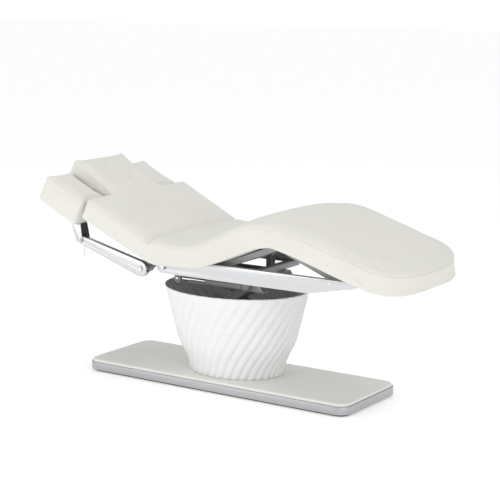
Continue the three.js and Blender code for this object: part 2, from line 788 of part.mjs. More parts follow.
function makeWaveCushions() {
  const stations = [];
  for (let x = -320; x < WAVE_END - FOOT_ROUND - 10; x += 34) stations.push(x);
  const footSteps = 12;
  for (let k = 0; k < footSteps; k++) {
    stations.push(WAVE_END - FOOT_ROUND * Math.cos((Math.PI / 2) * (k / (footSteps - 0.8))));
  }
  const rings = stations.map((x) => {
    const fromTip = WAVE_END - x;
    const narrowing = ((CUSHION_WIDTH - FOOT_WIDTH) / 2) * THREE.MathUtils.smoothstep(x, 400, 1000);
    const halfWidth = (halfCushion - narrowing) * footShare(fromTip);
    const top = waveTop(x) - drawIn(TOE_ROUND, fromTip);
    const under = waveUnder(x) + drawIn(TOE_ROUND, fromTip);
    const section = roundedRectangle(2 * halfWidth, top - under, CUSHION_EDGE, 3);
    return section.map((p) => [x, p.x, p.y + (top + under) / 2]);
  });
  const wave = loft(rings);
  const thighPivot = [THIGH_PIVOT_X, LINK_Z];
  const knee = [kneeX, kneeZ];
  const thighStart = rad(-9);
  const seatEnd = thighStart - LEG_RAISE - rad(1);
  const thighEnd = -LEG_FLATTEN - rad(0.3);
  const calfStart = LEG_FLATTEN + rad(0.3);

  const boardRoom = box(
    -500,
    THIGH_PIVOT_X + 30,
    -RAIL_OUTER_Y - SIDE_CLEARANCE,
    RAIL_OUTER_Y + SIDE_CLEARANCE,
    500,
    RAIL_TOP + 2 * TOUCH + BOARD,
  );
  const headward = box(-500, SEAT_START, -500, 500, 500, 1000);
  const seat = cut(common(wave, wedge(thighPivot, seatEnd, rad(-175))), boardRoom, headward);
  place("seat_cushion", seat, ivory);
  const thigh = common(
    common(wave, wedge(thighPivot, thighStart, rad(120))),
    wedge(knee, thighEnd, rad(-150)),
  );
  place("thigh_cushion", thigh, ivory);
  place("calf_cushion", common(wave, wedge(knee, calfStart, rad(150))), ivory);
}

// ---------- back section ----------
function makeBack() {
  const back = new THREE.Group();
  back.position.set(BACK_PIVOT[0], 0, BACK_PIVOT[1]);
  back.rotation.y = BACK_ANGLE;
  couch.add(back);

  const footTop = -BACK_TOP * Math.tan(BACK_OPENING);
  const footUnder = RAIL_START - BACK_PIVOT[0] - 14;
  const wide = across(
    rounded([
      [footTop, BACK_TOP, 0],
      [-BACK_LENGTH, BACK_TOP, 26],
      [-BACK_LENGTH, BACK_UNDER_HEAD, 26],
      [footUnder, BACK_UNDER_FOOT, 0],
    ]).reverse(),
    -halfCushion,
    halfCushion,
    { edge: CUSHION_EDGE },
  );
  const tongue = across(
    rounded([
      [-BACK_LENGTH + 60, BACK_TOP - 4, 0],
      [-BACK_LENGTH + 10, BACK_TOP, 0],
      [tongueTip, BACK_TOP + TONGUE_RISE, 22],
      [tongueTip, BACK_UNDER_HEAD, 22],
      [-BACK_LENGTH + 60, BACK_UNDER_HEAD + 2, 0],
    ]).reverse(),
    -TONGUE_WIDTH / 2,
    TONGUE_WIDTH / 2,
    { edge: 16 },
  );
  const plugX = tongueTip + PLUG_FROM_TIP;
  const oval = (grow) =>
    Array.from({ length: 28 }, (_, k) => {
      const angle = (2 * Math.PI * k) / 28;
      return new THREE.Vector2(
        plugX + (PLUG_LENGTH / 2 + grow) * Math.cos(angle),
        (PLUG_WIDTH / 2 + grow) * Math.sin(angle),
      );
    });
  const faceHole = upright(oval(PLUG_GAP), -50, 200);
  place("back_cushion", cut(join(wide, tongue), faceHole), ivory, back);
  place("face_plug", upright(oval(0), BACK_UNDER_HEAD + 12, BACK_TOP + 8, { edge: 4 }), ivory, back);

  const slope = (BACK_UNDER_FOOT - BACK_UNDER_HEAD) / (BACK_LENGTH - 25);
  const underAt = (x) => BACK_UNDER_HEAD + slope * (x + BACK_LENGTH);
  const boardTop = (x) => underAt(x) - 2 * TOUCH - 0.5;
  const boardStart = RAIL_START - BACK_PIVOT[0] - 18;
  const boardEnd = -BACK_LENGTH + 18;
  const board = across(
    [
      new THREE.Vector2(boardEnd, boardTop(boardEnd) - BOARD),
      new THREE.Vector2(boardStart, boardTop(boardStart) - BOARD),
      new THREE.Vector2(boardStart, boardTop(boardStart)),
      new THREE.Vector2(boardEnd, boardTop(boardEnd)),
    ],
    -BOARD_HALF_WIDTH,
    BOARD_HALF_WIDTH,
  );
  const tongueBoard = box(
    tongueTip + 20,
    boardEnd + 10,
    -TONGUE_WIDTH / 2 + 20,
    TONGUE_WIDTH / 2 - 20,
    boardTop(boardEnd) - BOARD,
    boardTop(boardEnd) - 2,
  );
  place("back_board", join(board, cut(tongueBoard, faceHole)), plywood, back);

  const plateTop = (x) => boardTop(x) - BOARD - TOUCH;
  [["back_hinge_plate_left", -1], ["back_hinge_plate_right", 1]].forEach(([name, side]) => {
    const outline = rounded([
      [16, -14, 10],
      [16, 14, 12],
      [-24, 12, 8],
      [boardStart + 2, plateTop(boardStart + 2), 2],
      [-400, plateTop(-400), 2],
      [-400, plateTop(-400) - 16, 6],
      [-150, plateTop(-150) - 34, 20],
      [SWING_LOWER[0] - 20, SWING_LOWER[1] - 18, 12],
      [SWING_LOWER[0] + 18, SWING_LOWER[1] - 18, 12],
      [SWING_LOWER[0] + 34, -34, 12],
    ]).reverse();
    const holes = [
      circle(0, 0, LIFT_SHAFT_RADIUS + PIN_CLEARANCE),
      circle(SWING_LOWER[0], SWING_LOWER[1], 8 + PIN_CLEARANCE),
    ];
    const plate = across(outline, side * HINGE_PLATE_Y, side * (HINGE_PLATE_Y - HINGE_PLATE), {
      holes,
    });
    place(name, plate, darkSteel, back);
  });

  // The lever that the actuator pushes hangs from a hub on the pivot shaft.
  const lever = new THREE.Group();
  lever.rotation.y = -BACK_ANGLE;
  back.add(lever);
  place("back_lever", leverGeometry(-ACTUATOR_Y, LEVER_DROP), darkSteel, lever);

  makeArmrest(back, -1, "left");
  makeArmrest(back, 1, "right");
}

// Two ears with upright slots, hanging below a hub that runs on a shaft at the origin.
function leverGeometry(y, drop) {
  const half = ACTUATOR_ROD_RADIUS + SIDE_CLEARANCE;
  const slot = belt(
    [0, -drop - LEVER_SLOT / 2 + 8],
    ROD_PIN_RADIUS + 3,
    [0, -drop + LEVER_SLOT / 2 - 8],
    ROD_PIN_RADIUS + 3,
  );
  const outline = belt([0, 0], LINK_HALF_WIDTH + 1.5, [0, -drop - 4], 17);
  const ear = (side) =>
    across(outline, y + side * half, y + side * (half + LEVER_PLATE), {
      holes: [circle(0, 0, LIFT_SHAFT_RADIUS + PIN_CLEARANCE), slot],
    });
  const hub = cut(
    shaft([0, 0], y - half - 1, y + half + 1, 15),
    shaft([0, 0], y - half - 9, y + half + 9, LIFT_SHAFT_RADIUS + PIN_CLEARANCE),
  );
  return join(ear(-1), ear(1), hub);
}

// ---------- one armrest with its swing arm ----------
function makeArmrest(back, side, hand) {
  makeReleaseLever(back, side, hand);
  const inner = TONGUE_WIDTH / 2 + ARMREST_SIDE_GAP;
  const outer = halfCushion;
  const start = -BACK_LENGTH - ARMREST_GAP;
  const end = start - ARMREST_LENGTH;
  const bottom = ARMREST_TOP - ARMREST_THICKNESS;
  const cushion = across(
    rounded([[end, bottom], [start, bottom], [start, ARMREST_TOP], [end, ARMREST_TOP]], 28),
    side * inner,
    side * outer,
    { edge: CUSHION_EDGE },
  );
  place(`armrest_cushion_${hand}`, cushion, ivory, back);

  const boardTop = bottom - TOUCH;
  const boardOutline = rounded(
    [
      [end + 20, side * (inner + 15)],
      [start - 15, side * (inner + 15)],
      [start - 15, side * (outer - 25)],
      [end + 20, side * (outer - 25)],
    ],
    15,
  );
  const board = upright(side > 0 ? boardOutline : boardOutline.reverse(), boardTop - BOARD, boardTop);

  const armOutline = (inset) =>
    belt(SWING_LOWER, SWING_LOWER_RADIUS - inset, SWING_UPPER, SWING_UPPER_RADIUS - inset);
  const armInner = SWING_ARM_Y - SWING_ARM_DEPTH;
  const web = SWING_ARM_Y - SWING_ARM_WALL;
  const arm = cut(
    across(armOutline(0), side * armInner, side * SWING_ARM_Y, {
      holes: [
        circle(SWING_LOWER[0], SWING_LOWER[1], 8 + PIN_CLEARANCE),
        circle(SWING_UPPER[0], SWING_UPPER[1], 6 + PIN_CLEARANCE),
      ],
    }),
    across(armOutline(SWING_ARM_WALL), side * (armInner - 1), side * web),
  );
  place(`swing_arm_${hand}`, arm, silver, back);

  const stepsFor = (steps) =>
    side > 0 ? steps : steps.map(([y, radius]) => [-y, radius]).reverse();
  const lowerBolt = stepsFor([
    [HINGE_PLATE_Y - HINGE_PLATE - 8, 8],
    [SWING_ARM_Y + TOUCH, 8],
    [SWING_ARM_Y + TOUCH, 13],
    [SWING_ARM_Y + 5, 13],
    [SWING_ARM_Y + 7, 10],
  ]);
  place(`swing_arm_bolt_${hand}`, turned(SWING_LOWER, lowerBolt), silver, back);

  const bracketIn = SWING_ARM_Y + 1;
  const bracketOut = bracketIn + 5;
  const underBoard = boardTop - BOARD - TOUCH;
  const [px, pz] = SWING_UPPER;
  const bracketOutline = rounded([
    [px + 12, pz - 14, 12],
    [px + 12, pz + 10, 10],
    [px - 24, underBoard, 0],
    [px - 110, underBoard, 0],
    [px - 78, underBoard - 22, 20],
    [px - 16, pz - 16, 10],
  ]).reverse();
  const pinHole = circle(px, pz, 6 + PIN_CLEARANCE);
  const bracket = across(bracketOutline, side * bracketIn, side * bracketOut);
  const stayOuter = armInner - SIDE_CLEARANCE;
  const stay = across(
    rounded([
      [px + 16, pz - 16, 12],
      [px + 16, pz + 16, 12],
      [px - 28, boardTop - BOARD / 2, 0],
      [px - 62, boardTop - BOARD / 2, 0],
      [px - 22, pz - 10, 12],
    ]).reverse(),
    side * (stayOuter - 18),
    side * stayOuter,
    { holes: [pinHole] },
  );
  place(`armrest_board_${hand}`, join(board, stay), black, back);

  // The bracket carries its own pivot pin.
  const upperBolt = stepsFor([
    [stayOuter - 22, 6],
    [bracketIn + 1, 6],
    [bracketIn + 1, 10],
    [bracketOut + 4, 10],
    [bracketOut + 6, 7],
  ]);
  place(`armrest_bracket_${hand}`, join(bracket, turned(SWING_UPPER, upperBolt)), silver, back);
}

// A hanging rod with a ball end that frees an armrest.
function makeReleaseLever(back, side, hand) {
  const lever = new THREE.Group();
  lever.position.set(SWING_UPPER[0] + 26, 0, SWING_UPPER[1] - SWING_UPPER_RADIUS - 8);
  lever.rotation.y = -BACK_ANGLE;
  back.add(lever);
  const profile = [
    [0, 0],
    [5, 0],
    [5, -6],
    [LEVER_RADIUS, -8],
    [LEVER_RADIUS, -LEVER_LENGTH + 6],
    [5, -LEVER_LENGTH],
    [4, -LEVER_LENGTH - 5],
    [0, -LEVER_LENGTH - 6],
  ].map(([radius, z]) => new THREE.Vector2(radius, z));
  const rod = new THREE.LatheGeometry(profile.reverse(), 16).rotateX(Math.PI / 2);
  rod.translate(0, side * (SWING_ARM_Y - SWING_ARM_DEPTH / 2), 0);
  place(`release_lever_${hand}`, rod, silver, lever);
}

// ---------- leg section ----------
function makeLegs() {
  const thigh = new THREE.Group();
  thigh.position.set(THIGH_PIVOT_X, 0, LINK_Z);
  thigh.rotation.y = -linkAngle;
  couch.add(thigh);

  const plateInner = THIGH_PLATE_Y - LINK_PLATE;
  const plateOutline = belt([0, 0], LINK_HALF_WIDTH, [linkLength, 0], LINK_HALF_WIDTH);
  const plateHoles = [
    circle(0, 0, LIFT_SHAFT_RADIUS + PIN_CLEARANCE),
    circle(linkLength, 0, KNEE_SHAFT_RADIUS + PIN_CLEARANCE),
  ];
  const thighPlate = (side) =>
    across(plateOutline, side * THIGH_PLATE_Y, side * plateInner, { holes: plateHoles });
  const thighBoard = box(28, linkLength - 24, -THIGH_PLATE_Y, THIGH_PLATE_Y, -2, BOARD - 2);
  place("thigh_frame", join(thighBoard, thighPlate(-1), thighPlate(1)), darkSteel, thigh);
  const kneeReach = THIGH_PLATE_Y + 5;
  place("knee_shaft", shaft([linkLength, 0], -kneeReach, kneeReach, KNEE_SHAFT_RADIUS), grey, thigh);

  const lever = new THREE.Group();
  lever.position.set(THIGH_PIVOT_X, 0, LINK_Z);
  couch.add(lever);
  place("thigh_lever", leverGeometry(ACTUATOR_Y, LEG_LEVER_DROP), darkSteel, lever);

  // The calf frame is drawn in place: a board under the cushion and a plate at each side.
  const slope = Math.tan(rad(15.95));
  const boardTop = (x) => 762 - slope * (x - 480);
  const calfBoard = across(
    [
      new THREE.Vector2(452, boardTop(452) - BOARD),
      new THREE.Vector2(CALF_BOARD_END, boardTop(CALF_BOARD_END) - BOARD),
      new THREE.Vector2(CALF_BOARD_END, boardTop(CALF_BOARD_END)),
      new THREE.Vector2(452, boardTop(452)),
    ],
    -calfPlateY,
    calfPlateY,
  );
  const plateTop = (x) => boardTop(x) - BOARD + 2;
  const calfOutline = rounded([
    [kneeX - 15, kneeZ - 12, 12],
    [kneeX - 8, kneeZ + 13, 12],
    [kneeX + 12, kneeZ + 12, 8],
    [460, plateTop(460), 0],
    [800, plateTop(800), 0],
    [legRollerX + 14, LINK_Z - 12, 12],
    [legRollerX - 14, LINK_Z - 12, 12],
  ]).reverse();
  const calfHoles = [
    circle(kneeX, kneeZ, KNEE_SHAFT_RADIUS + PIN_CLEARANCE),
    circle(legRollerX, LINK_Z, LEG_ROLLER_SHAFT_RADIUS + PIN_CLEARANCE),
  ];
  const calfPlate = (side) =>
    across(calfOutline, side * calfPlateY, side * (calfPlateY - LINK_PLATE), { holes: calfHoles });
  place("calf_frame", join(calfBoard, calfPlate(-1), calfPlate(1)), darkSteel);

  const rollerOut = RAIL_OUTER_Y - RAIL_WALL - SIDE_CLEARANCE;
  const rollerIn = rollerOut - 20;
  place(
    "calf_roller_shaft",
    turned([legRollerX, LINK_Z], [
      [-rollerOut, LEG_ROLLER_RADIUS],
      [-rollerIn, LEG_ROLLER_RADIUS],
      [-rollerIn, LEG_ROLLER_SHAFT_RADIUS],
      [rollerIn, LEG_ROLLER_SHAFT_RADIUS],
      [rollerIn, LEG_ROLLER_RADIUS],
      [rollerOut, LEG_ROLLER_RADIUS],
    ]),
    silver,
  );
}

// ---------- actuators of the back and the legs ----------
// A tube fixed under the upper frame with a rod that ends in an eye and a cross pin.
function makeActuator(name, y, tail, nose, rodEnd, z) {
  const toRod = Math.sign(rodEnd - nose);
  const [low, high] = [Math.min(tail, nose), Math.max(tail, nose)];
  const bore = ACTUATOR_ROD_RADIUS + PIN_CLEARANCE;
  const tube = barAlongX(low, high, y, z, ACTUATOR_RADIUS);
  const hollow = toRod > 0
    ? barAlongX(low + 30, high + 1, y, z, bore)
    : barAlongX(low - 1, high - 30, y, z, bore);
  const clevis = across(
    belt([tail - toRod * 24, z], 15, [tail + toRod * 20, z], 15),
    y - 12,
    y + 12,
  );
  const hangerX = tail - toRod * 24;
  const hanger = box(hangerX - 12, hangerX + 12, y - 11, y + 11, z, beamTop);
  place(`${name}_body`, join(cut(tube, hollow), clevis, hanger), grey);

  const inside = nose - toRod * 60;
  const rod = barAlongX(Math.min(inside, rodEnd), Math.max(inside, rodEnd), y, z, ACTUATOR_ROD_RADIUS);
  const eye = shaft([rodEnd, z], y - ROD_EYE / 2, y + ROD_EYE / 2, 14);
  const pinReach = ACTUATOR_ROD_RADIUS + SIDE_CLEARANCE + LEVER_PLATE + 2;
  const pin = shaft([rodEnd, z], y - pinReach, y + pinReach, ROD_PIN_RADIUS);
  place(`${name}_rod`, join(rod, eye, pin), silver);
}

makeBase();
makeCover();
makeLift();
makeUpperFrame();
makeWaveCushions();
makeBack();
makeLegs();
makeActuator("back_actuator", -ACTUATOR_Y, 150, -60, BACK_PIVOT[0], BACK_PIVOT[1] - LEVER_DROP);
makeActuator(
  "leg_actuator",
  ACTUATOR_Y,
  -150,
  -10,
  THIGH_PIVOT_X,
  LINK_Z - LEG_LEVER_DROP,
);

export default couch;
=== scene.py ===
"""Treatment couch: the visible upholstery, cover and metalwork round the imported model.

Every size is in metres in the model's own frame: +X towards the feet, +Y across, +Z up.
"""

import json
import math

import bmesh
import bpy
import numpy as np
from bpy.props import FloatProperty, FloatVectorProperty, IntProperty, PointerProperty
from mathutils import Matrix, Vector
from mathutils.bvhtree import BVHTree


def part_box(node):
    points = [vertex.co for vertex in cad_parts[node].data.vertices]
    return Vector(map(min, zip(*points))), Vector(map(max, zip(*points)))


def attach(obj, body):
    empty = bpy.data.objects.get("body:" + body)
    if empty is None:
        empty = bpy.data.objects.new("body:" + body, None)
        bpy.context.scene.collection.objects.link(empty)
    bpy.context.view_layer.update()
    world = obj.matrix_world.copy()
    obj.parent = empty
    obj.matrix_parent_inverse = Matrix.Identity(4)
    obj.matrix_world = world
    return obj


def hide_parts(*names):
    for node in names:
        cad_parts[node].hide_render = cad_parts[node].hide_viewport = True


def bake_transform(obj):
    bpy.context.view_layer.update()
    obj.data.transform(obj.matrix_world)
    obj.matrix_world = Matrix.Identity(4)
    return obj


bl_info = {
    "name": "Treatment couch",
    "version": (1, 0, 0),
    "blender": (4, 5, 0),
    "location": "View3D > Sidebar > Couch",
    "description": "Upholstery, fluted cover, metalwork and studio of a powered treatment couch",
    "category": "Object",
}

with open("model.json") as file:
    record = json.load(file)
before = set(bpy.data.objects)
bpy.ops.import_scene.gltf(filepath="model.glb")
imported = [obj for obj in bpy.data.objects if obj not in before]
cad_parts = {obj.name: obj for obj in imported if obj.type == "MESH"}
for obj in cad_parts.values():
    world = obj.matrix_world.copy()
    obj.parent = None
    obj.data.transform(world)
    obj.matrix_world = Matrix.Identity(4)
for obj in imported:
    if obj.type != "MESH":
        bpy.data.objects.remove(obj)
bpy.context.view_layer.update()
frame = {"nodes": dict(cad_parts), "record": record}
RECORD = frame["record"]
BODY_OF = {node: body for body, nodes in RECORD["behaviour"]["bodies"].items() for node in nodes}
SLOT_OF = {part["node"]: part["material_slot"] for part in RECORD["subparts"]}
PIVOT = {joint["name"]: Vector(joint["pos_m"]) for joint in RECORD["behaviour"]["joints"] if "pos_m" in joint}

# ---------- places of the couch ----------
BACK_ANGLE = math.radians(25.5)
BACK = Matrix.Translation(PIVOT["back_raise"]) @ Matrix.Rotation(BACK_ANGLE, 4, "Y")
BACK_LENGTH = 0.489  # from the hinge to the head end of the wide part
BACK_TOP = 0.109  # above the hinge, square to the back
BACK_UNDER = 0.002
TONGUE_LENGTH = 0.296
TONGUE_RISE = 0.027  # of its top at the tip
TONGUE_HALF_WIDTH = 0.196
TONGUE_ROOT = 0.06  # how far the tongue reaches into the wide part
CREASE = Vector((-0.262, 0.0, 0.7435))
CREASE_TO_HINGE = 0.1395  # along the back
CREASE_REACH = 0.034  # of the fold, to each side
HALF_WIDTH = 0.395
CORNER_ROUND = 0.03  # of the corners at the head, in plan
TAPER_START = 0.40  # from here the sides draw in towards the feet
FOOT_HALF_WIDTH = 0.3825
FOOT_END = 1.086
FOOT_ROUND = 0.180  # length of the rounded corners at the feet
FOOT_FULLNESS = 2.5  # power of their curve, 2 for an ellipse
TOE_ROUND = 0.032
PLUG_PLACE = -0.644  # along the back, from the hinge
PLUG_RADII = (0.085, 0.060)
PLUG_LIFT = 0.012  # from the underside of the back to that of the plug
PLUG_GAP = 0.0012
COVER_FOOT_RADIUS = 0.252
COVER_NECK_RADIUS = 0.340
COVER_WALL = 0.004
MAT_CORNER = 0.058
MAT_RIM = 0.0085
MAT_CROWN = ((0.97, 0.0006), (0.90, 0.0006), (0.75, 0.0004))  # steps to the middle, [share of the size, rise]
ARMREST_START = -0.504
ARMREST_END = -0.774
ARMREST_INNER = 0.201
ARMREST_TOP = 0.085
ARMREST_UNDER = -0.0635
ARMREST_ROUND = 0.020
RAIL_OUTER = 0.305
RAIL_SCREW = Vector((0.711, 0, 0.632))
SEAT_BOARD_SPAN = (-0.282, 0.110)
SEAT_BOARD_TOP = 0.6623
UNDER_SEAT = SEAT_BOARD_TOP + 0.001
THIGH_SPLIT = 0.155  # from the leg pivot towards the knee, where the seat cushion ends
SEAM_DROP = 0.017  # from the edge of the top down to the seam
SEAM_STEP = 0.014
FOOT_SEAM_START = 0.62  # from here to the feet the seam stands out more

# Side view of the long cushion, [x, z], from the crease to the foot end and back underneath.
TOP_LINE = [
    (-0.262, 0.7435), (-0.190, 0.7400), (-0.120, 0.7385), (-0.010, 0.7460), (0.060, 0.7670),
    (0.215, 0.8370), (0.310, 0.8720), (0.400, 0.8810), (0.511, 0.8700), (0.700, 0.8170),
    (0.913, 0.7550), (FOOT_END, 0.6980),
]
UNDER_LINE = [
    (FOOT_END, 0.5930), (0.904, 0.6450), (0.691, 0.7120), (0.557, 0.7520), (0.480, 0.7720),
    (0.430, 0.7790), (0.335, 0.7570), (0.183, 0.6950), (0.110, 0.6670), (0.027, 0.6420),
    (-0.145, 0.6300), (-0.235, 0.6330), (-0.300, 0.6550),
]

# Side view of the room under the crease that the raised back board needs, [x, z].
BOARD_ROOM = [(-0.330, 0.500), (-0.245, 0.500), (-0.245, UNDER_SEAT), (-0.305, 0.730), (-0.330, 0.730)]

# ---------- studio ----------
CAMERA_PLACE = (4.134, -5.960, 2.020)
CAMERA_TILT = math.radians(90 - 10.57)
CAMERA_TURN = math.radians(34.27)
CAMERA_LENS = 108.5
LIGHTS = (("Key", (-2.8, -4.6, 2.2), 66.0), ("Fill", (3.8, -2.6, 2.0), 46.0), ("Top", (0.2, 0.6, 4.4), 42.0))
LIGHT_SIZE = 4.0
LIGHT_AIM = Vector((0.1, 0, 0.5))
FLOOR_GLOW = 0.33
ROOM_LIGHT = 0.72
ROOM_LIGHT_ABOVE = 0.95  # share of it that comes from straight above
BACKDROP = 1.05


# ---------- sizes and colours a user would change ----------
class CouchSizes(bpy.types.PropertyGroup):
    """Sizes of the soft and the fluted pieces."""

    voxel: FloatProperty(
        name="Padding mesh", description="Edge length of the mesh that is inflated",
        default=0.008, min=0.004, max=0.02, subtype="DISTANCE", unit="LENGTH",
    )
    dome: FloatProperty(
        name="Dome", description="How much higher the middle of the leg cushion is than its sides",
        default=0.014, min=0.0, max=0.03, subtype="DISTANCE", unit="LENGTH",
    )
    crown: FloatProperty(
        name="Crown", description="How far a padded face may rise when it is inflated",
        default=0.012, min=0.0, max=0.03, subtype="DISTANCE", unit="LENGTH",
    )
    crease_depth: FloatProperty(
        name="Crease depth", description="How deep the fold between the back and the seat is",
        default=0.013, min=0.0, max=0.03, subtype="DISTANCE", unit="LENGTH",
    )
    seam_radius: FloatProperty(
        name="Seam", description="Radius of the sewn seam round the top of the cushions",
        default=0.0014, min=0.0005, max=0.004, subtype="DISTANCE", unit="LENGTH",
    )
    flutes: IntProperty(
        name="Flutes", description="Number of flutes round the cover", default=36, min=12, max=72,
    )
    flute_depth: FloatProperty(
        name="Flute depth", description="Depth of the grooves between the flutes",
        default=0.010, min=0.0, max=0.02, subtype="DISTANCE", unit="LENGTH",
    )
    twist: FloatProperty(
        name="Twist", description="Turn of the flutes from the foot of the cover to its rim",
        default=math.radians(45), subtype="ANGLE", unit="ROTATION",
    )


class CouchColours(bpy.types.PropertyGroup):
    """Colours of the finishes."""

    upholstery: FloatVectorProperty(
        name="Upholstery", description="Ivory upholstery of the cushions",
        subtype="COLOR", size=3, default=(0.70, 0.69, 0.645), min=0, max=1,
    )
    mat: FloatVectorProperty(
        name="Base mat", description="Upholstery on the base",
        subtype="COLOR", size=3, default=(0.79, 0.78, 0.745), min=0, max=1,
    )
    cover: FloatVectorProperty(
        name="Cover", description="Fluted cover",
        subtype="COLOR", size=3, default=(0.78, 0.78, 0.78), min=0, max=1,
    )
    rails: FloatVectorProperty(
        name="Rails", description="Silver rails and arms",
        subtype="COLOR", size=3, default=(0.60, 0.605, 0.615), min=0, max=1,
    )
    steel: FloatVectorProperty(
        name="Dark steel", description="Painted steel of the lift and the frame",
        subtype="COLOR", size=3, default=(0.34, 0.344, 0.35), min=0, max=1,
    )


def sizes():
    return bpy.context.scene.couch_sizes


def colours():
    return bpy.context.scene.couch_colours


# ---------- mesh helpers ----------
def smooth_line(points, steps=8):
    """Points along a smooth curve through the given ones."""
    vectors = [Vector(p) for p in points]
    vectors = [2 * vectors[0] - vectors[1], *vectors, 2 * vectors[-1] - vectors[-2]]
    line = []
    for a, b, c, d in zip(vectors, vectors[1:], vectors[2:], vectors[3:]):
        for k in range(steps):
            t = k / steps
            square, cube = 2 * a - 5 * b + 4 * c - d, 3 * b - a - 3 * c + d
            line.append(0.5 * (2 * b + (c - a) * t + square * t**2 + cube * t**3))
    line.append(vectors[-2])
    return line


def height_at(line, x):
    """Height of a line of [x, z] points at x."""
    for a, b in zip(line, line[1:]):
        if min(a[0], b[0]) <= x <= max(a[0], b[0]):
            return a[1] + (b[1] - a[1]) * (x - a[0]) / (b[0] - a[0] or 1)
    return line[-1][1] if x > line[-1][0] else line[0][1]


def arc(centre, radius, start, end, steps=8):
    """Points on an arc in a plane, angles in degrees."""
    angles = [math.radians(start + (end - start) * k / steps) for k in range(steps + 1)]
    return [(centre[0] + radius * math.cos(a), centre[1] + radius * math.sin(a)) for a in angles]


def prism(bm, outline, vector):
    """A closed outline of 3D points, extruded by a vector."""
    face = bm.faces.new([bm.verts.new(p) for p in outline])
    made = bmesh.ops.extrude_face_region(bm, geom=[face])
    moved = [v for v in made["geom"] if isinstance(v, bmesh.types.BMVert)]
    bmesh.ops.translate(bm, verts=moved, vec=vector)
    bmesh.ops.recalc_face_normals(bm, faces=bm.faces)


def block(bm, low, high, matrix=None):
    """A box between two corners."""
    low, high = Vector(low), Vector(high)
    size = Matrix.Diagonal((*(high - low), 1.0))
    place = Matrix.Translation((low + high) / 2) @ size
    bmesh.ops.create_cube(bm, size=1.0, matrix=(matrix or Matrix()) @ place)


def bevel(bm, edges, width, segments=3):
    bmesh.ops.bevel(
        bm, geom=edges, offset=width, offset_type="OFFSET", segments=segments,
        profile=0.5, affect="EDGES", material=-1, clamp_overlap=True,
    )


def sharp_edges(bm, angle=35.0):
    limit = math.radians(angle)
    return [e for e in bm.edges if e.is_manifold and e.calc_face_angle() > limit]


def new_object(name, bm, smooth_below=40.0):
    """A mesh object from a bmesh, shaded smooth except at edges sharper than an angle."""
    mesh = bpy.data.meshes.new(name)
    bm.to_mesh(mesh)
    bm.free()
    mesh.shade_smooth()
    if smooth_below:
        mesh.set_sharp_from_angle(angle=math.radians(smooth_below))
    made = bpy.data.objects.new(name, mesh)
    bpy.context.scene.collection.objects.link(made)
    return made


def apply_modifiers(made):
    """Makes what the modifiers show the object's own mesh."""
    depsgraph = bpy.context.evaluated_depsgraph_get()
    mesh = bpy.data.meshes.new_from_object(made.evaluated_get(depsgraph))
    made.modifiers.clear()
    old = made.data
    made.data = mesh
    bpy.data.meshes.remove(old)


def combine(made, bm, operation):
    """Joins, cuts or keeps the common part of an object and a second closed shape."""
    other = new_object("tool", bm, 0)
    modifier = made.modifiers.new("combine", "BOOLEAN")
    modifier.object = other
    modifier.operation = operation
    modifier.solver = "EXACT"
    apply_modifiers(made)
    bpy.data.objects.remove(other)


def finish(made, material, body, replaced=()):
    """Gives a piece its material, the body that it rides on, and the nodes that it stands for."""
    made.data.materials.clear()
    made.data.materials.append(material)
    if body:
        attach(made, body)
    if replaced:
        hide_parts(*replaced)
    return made


def softened(node, material, width=0.0012, segments=2):
    """A copy of a CAD node with its edges rounded, which takes the node's place."""
    bm = bmesh.new()
    bm.from_mesh(frame["nodes"][node].data)
    bmesh.ops.remove_doubles(bm, verts=bm.verts, dist=1e-5)
    bmesh.ops.dissolve_limit(bm, angle_limit=math.radians(1), verts=bm.verts, edges=bm.edges)
    bevel(bm, sharp_edges(bm), width, segments)
    made = new_object(f"{node}_piece", bm)
    return finish(made, material, BODY_OF[node], [node])


def turned(name, profile, place, material, body, steps=40):
    """A piece turned about Y through a place; its profile holds [radius, y]."""
    bm = bmesh.new()
    line = [bm.verts.new((radius, y, 0)) for radius, y in profile]
    edges = [bm.edges.new(pair) for pair in zip(line, line[1:])]
    bmesh.ops.spin(
        bm, geom=[*line, *edges], cent=(0, 0, 0), axis=(0, 1, 0), angle=math.tau, steps=steps, use_merge=True
    )
    bmesh.ops.remove_doubles(bm, verts=bm.verts, dist=1e-6)
    bmesh.ops.recalc_face_normals(bm, faces=bm.faces)
    bmesh.ops.translate(bm, verts=bm.verts, vec=place)
    return finish(new_object(name, bm, 35), material, body)


# ---------- padding ----------
def shrink(bm, distance):
    bm.normal_update()
    for vert in bm.verts:
        vert.co -= vert.normal * distance


def voxelised(made, voxel, rounding, inset):
    """Closes an object into one even mesh and rounds its edges by relaxing it."""
    modifier = made.modifiers.new("voxels", "REMESH")
    modifier.mode = "VOXEL"
    modifier.voxel_size = voxel
    apply_modifiers(made)
    bm = bmesh.new()
    bm.from_mesh(made.data)
    for _ in range(rounding):
        bmesh.ops.smooth_vert(
            bm, verts=bm.verts, factor=0.5, use_axis_x=True, use_axis_y=True, use_axis_z=True
        )
    shrink(bm, inset)
    bm.to_mesh(made.data)
    bm.free()


def read_vertices(mesh, what="co"):
    """Where a mesh's vertices are, or their normals, as rows."""
    flat = np.empty(3 * len(mesh.vertices))
    mesh.vertices.foreach_get(what, flat)
    return flat.reshape(-1, 3)


def move_vertices(mesh, places):
    mesh.vertices.foreach_set("co", places.ravel())
    mesh.update()


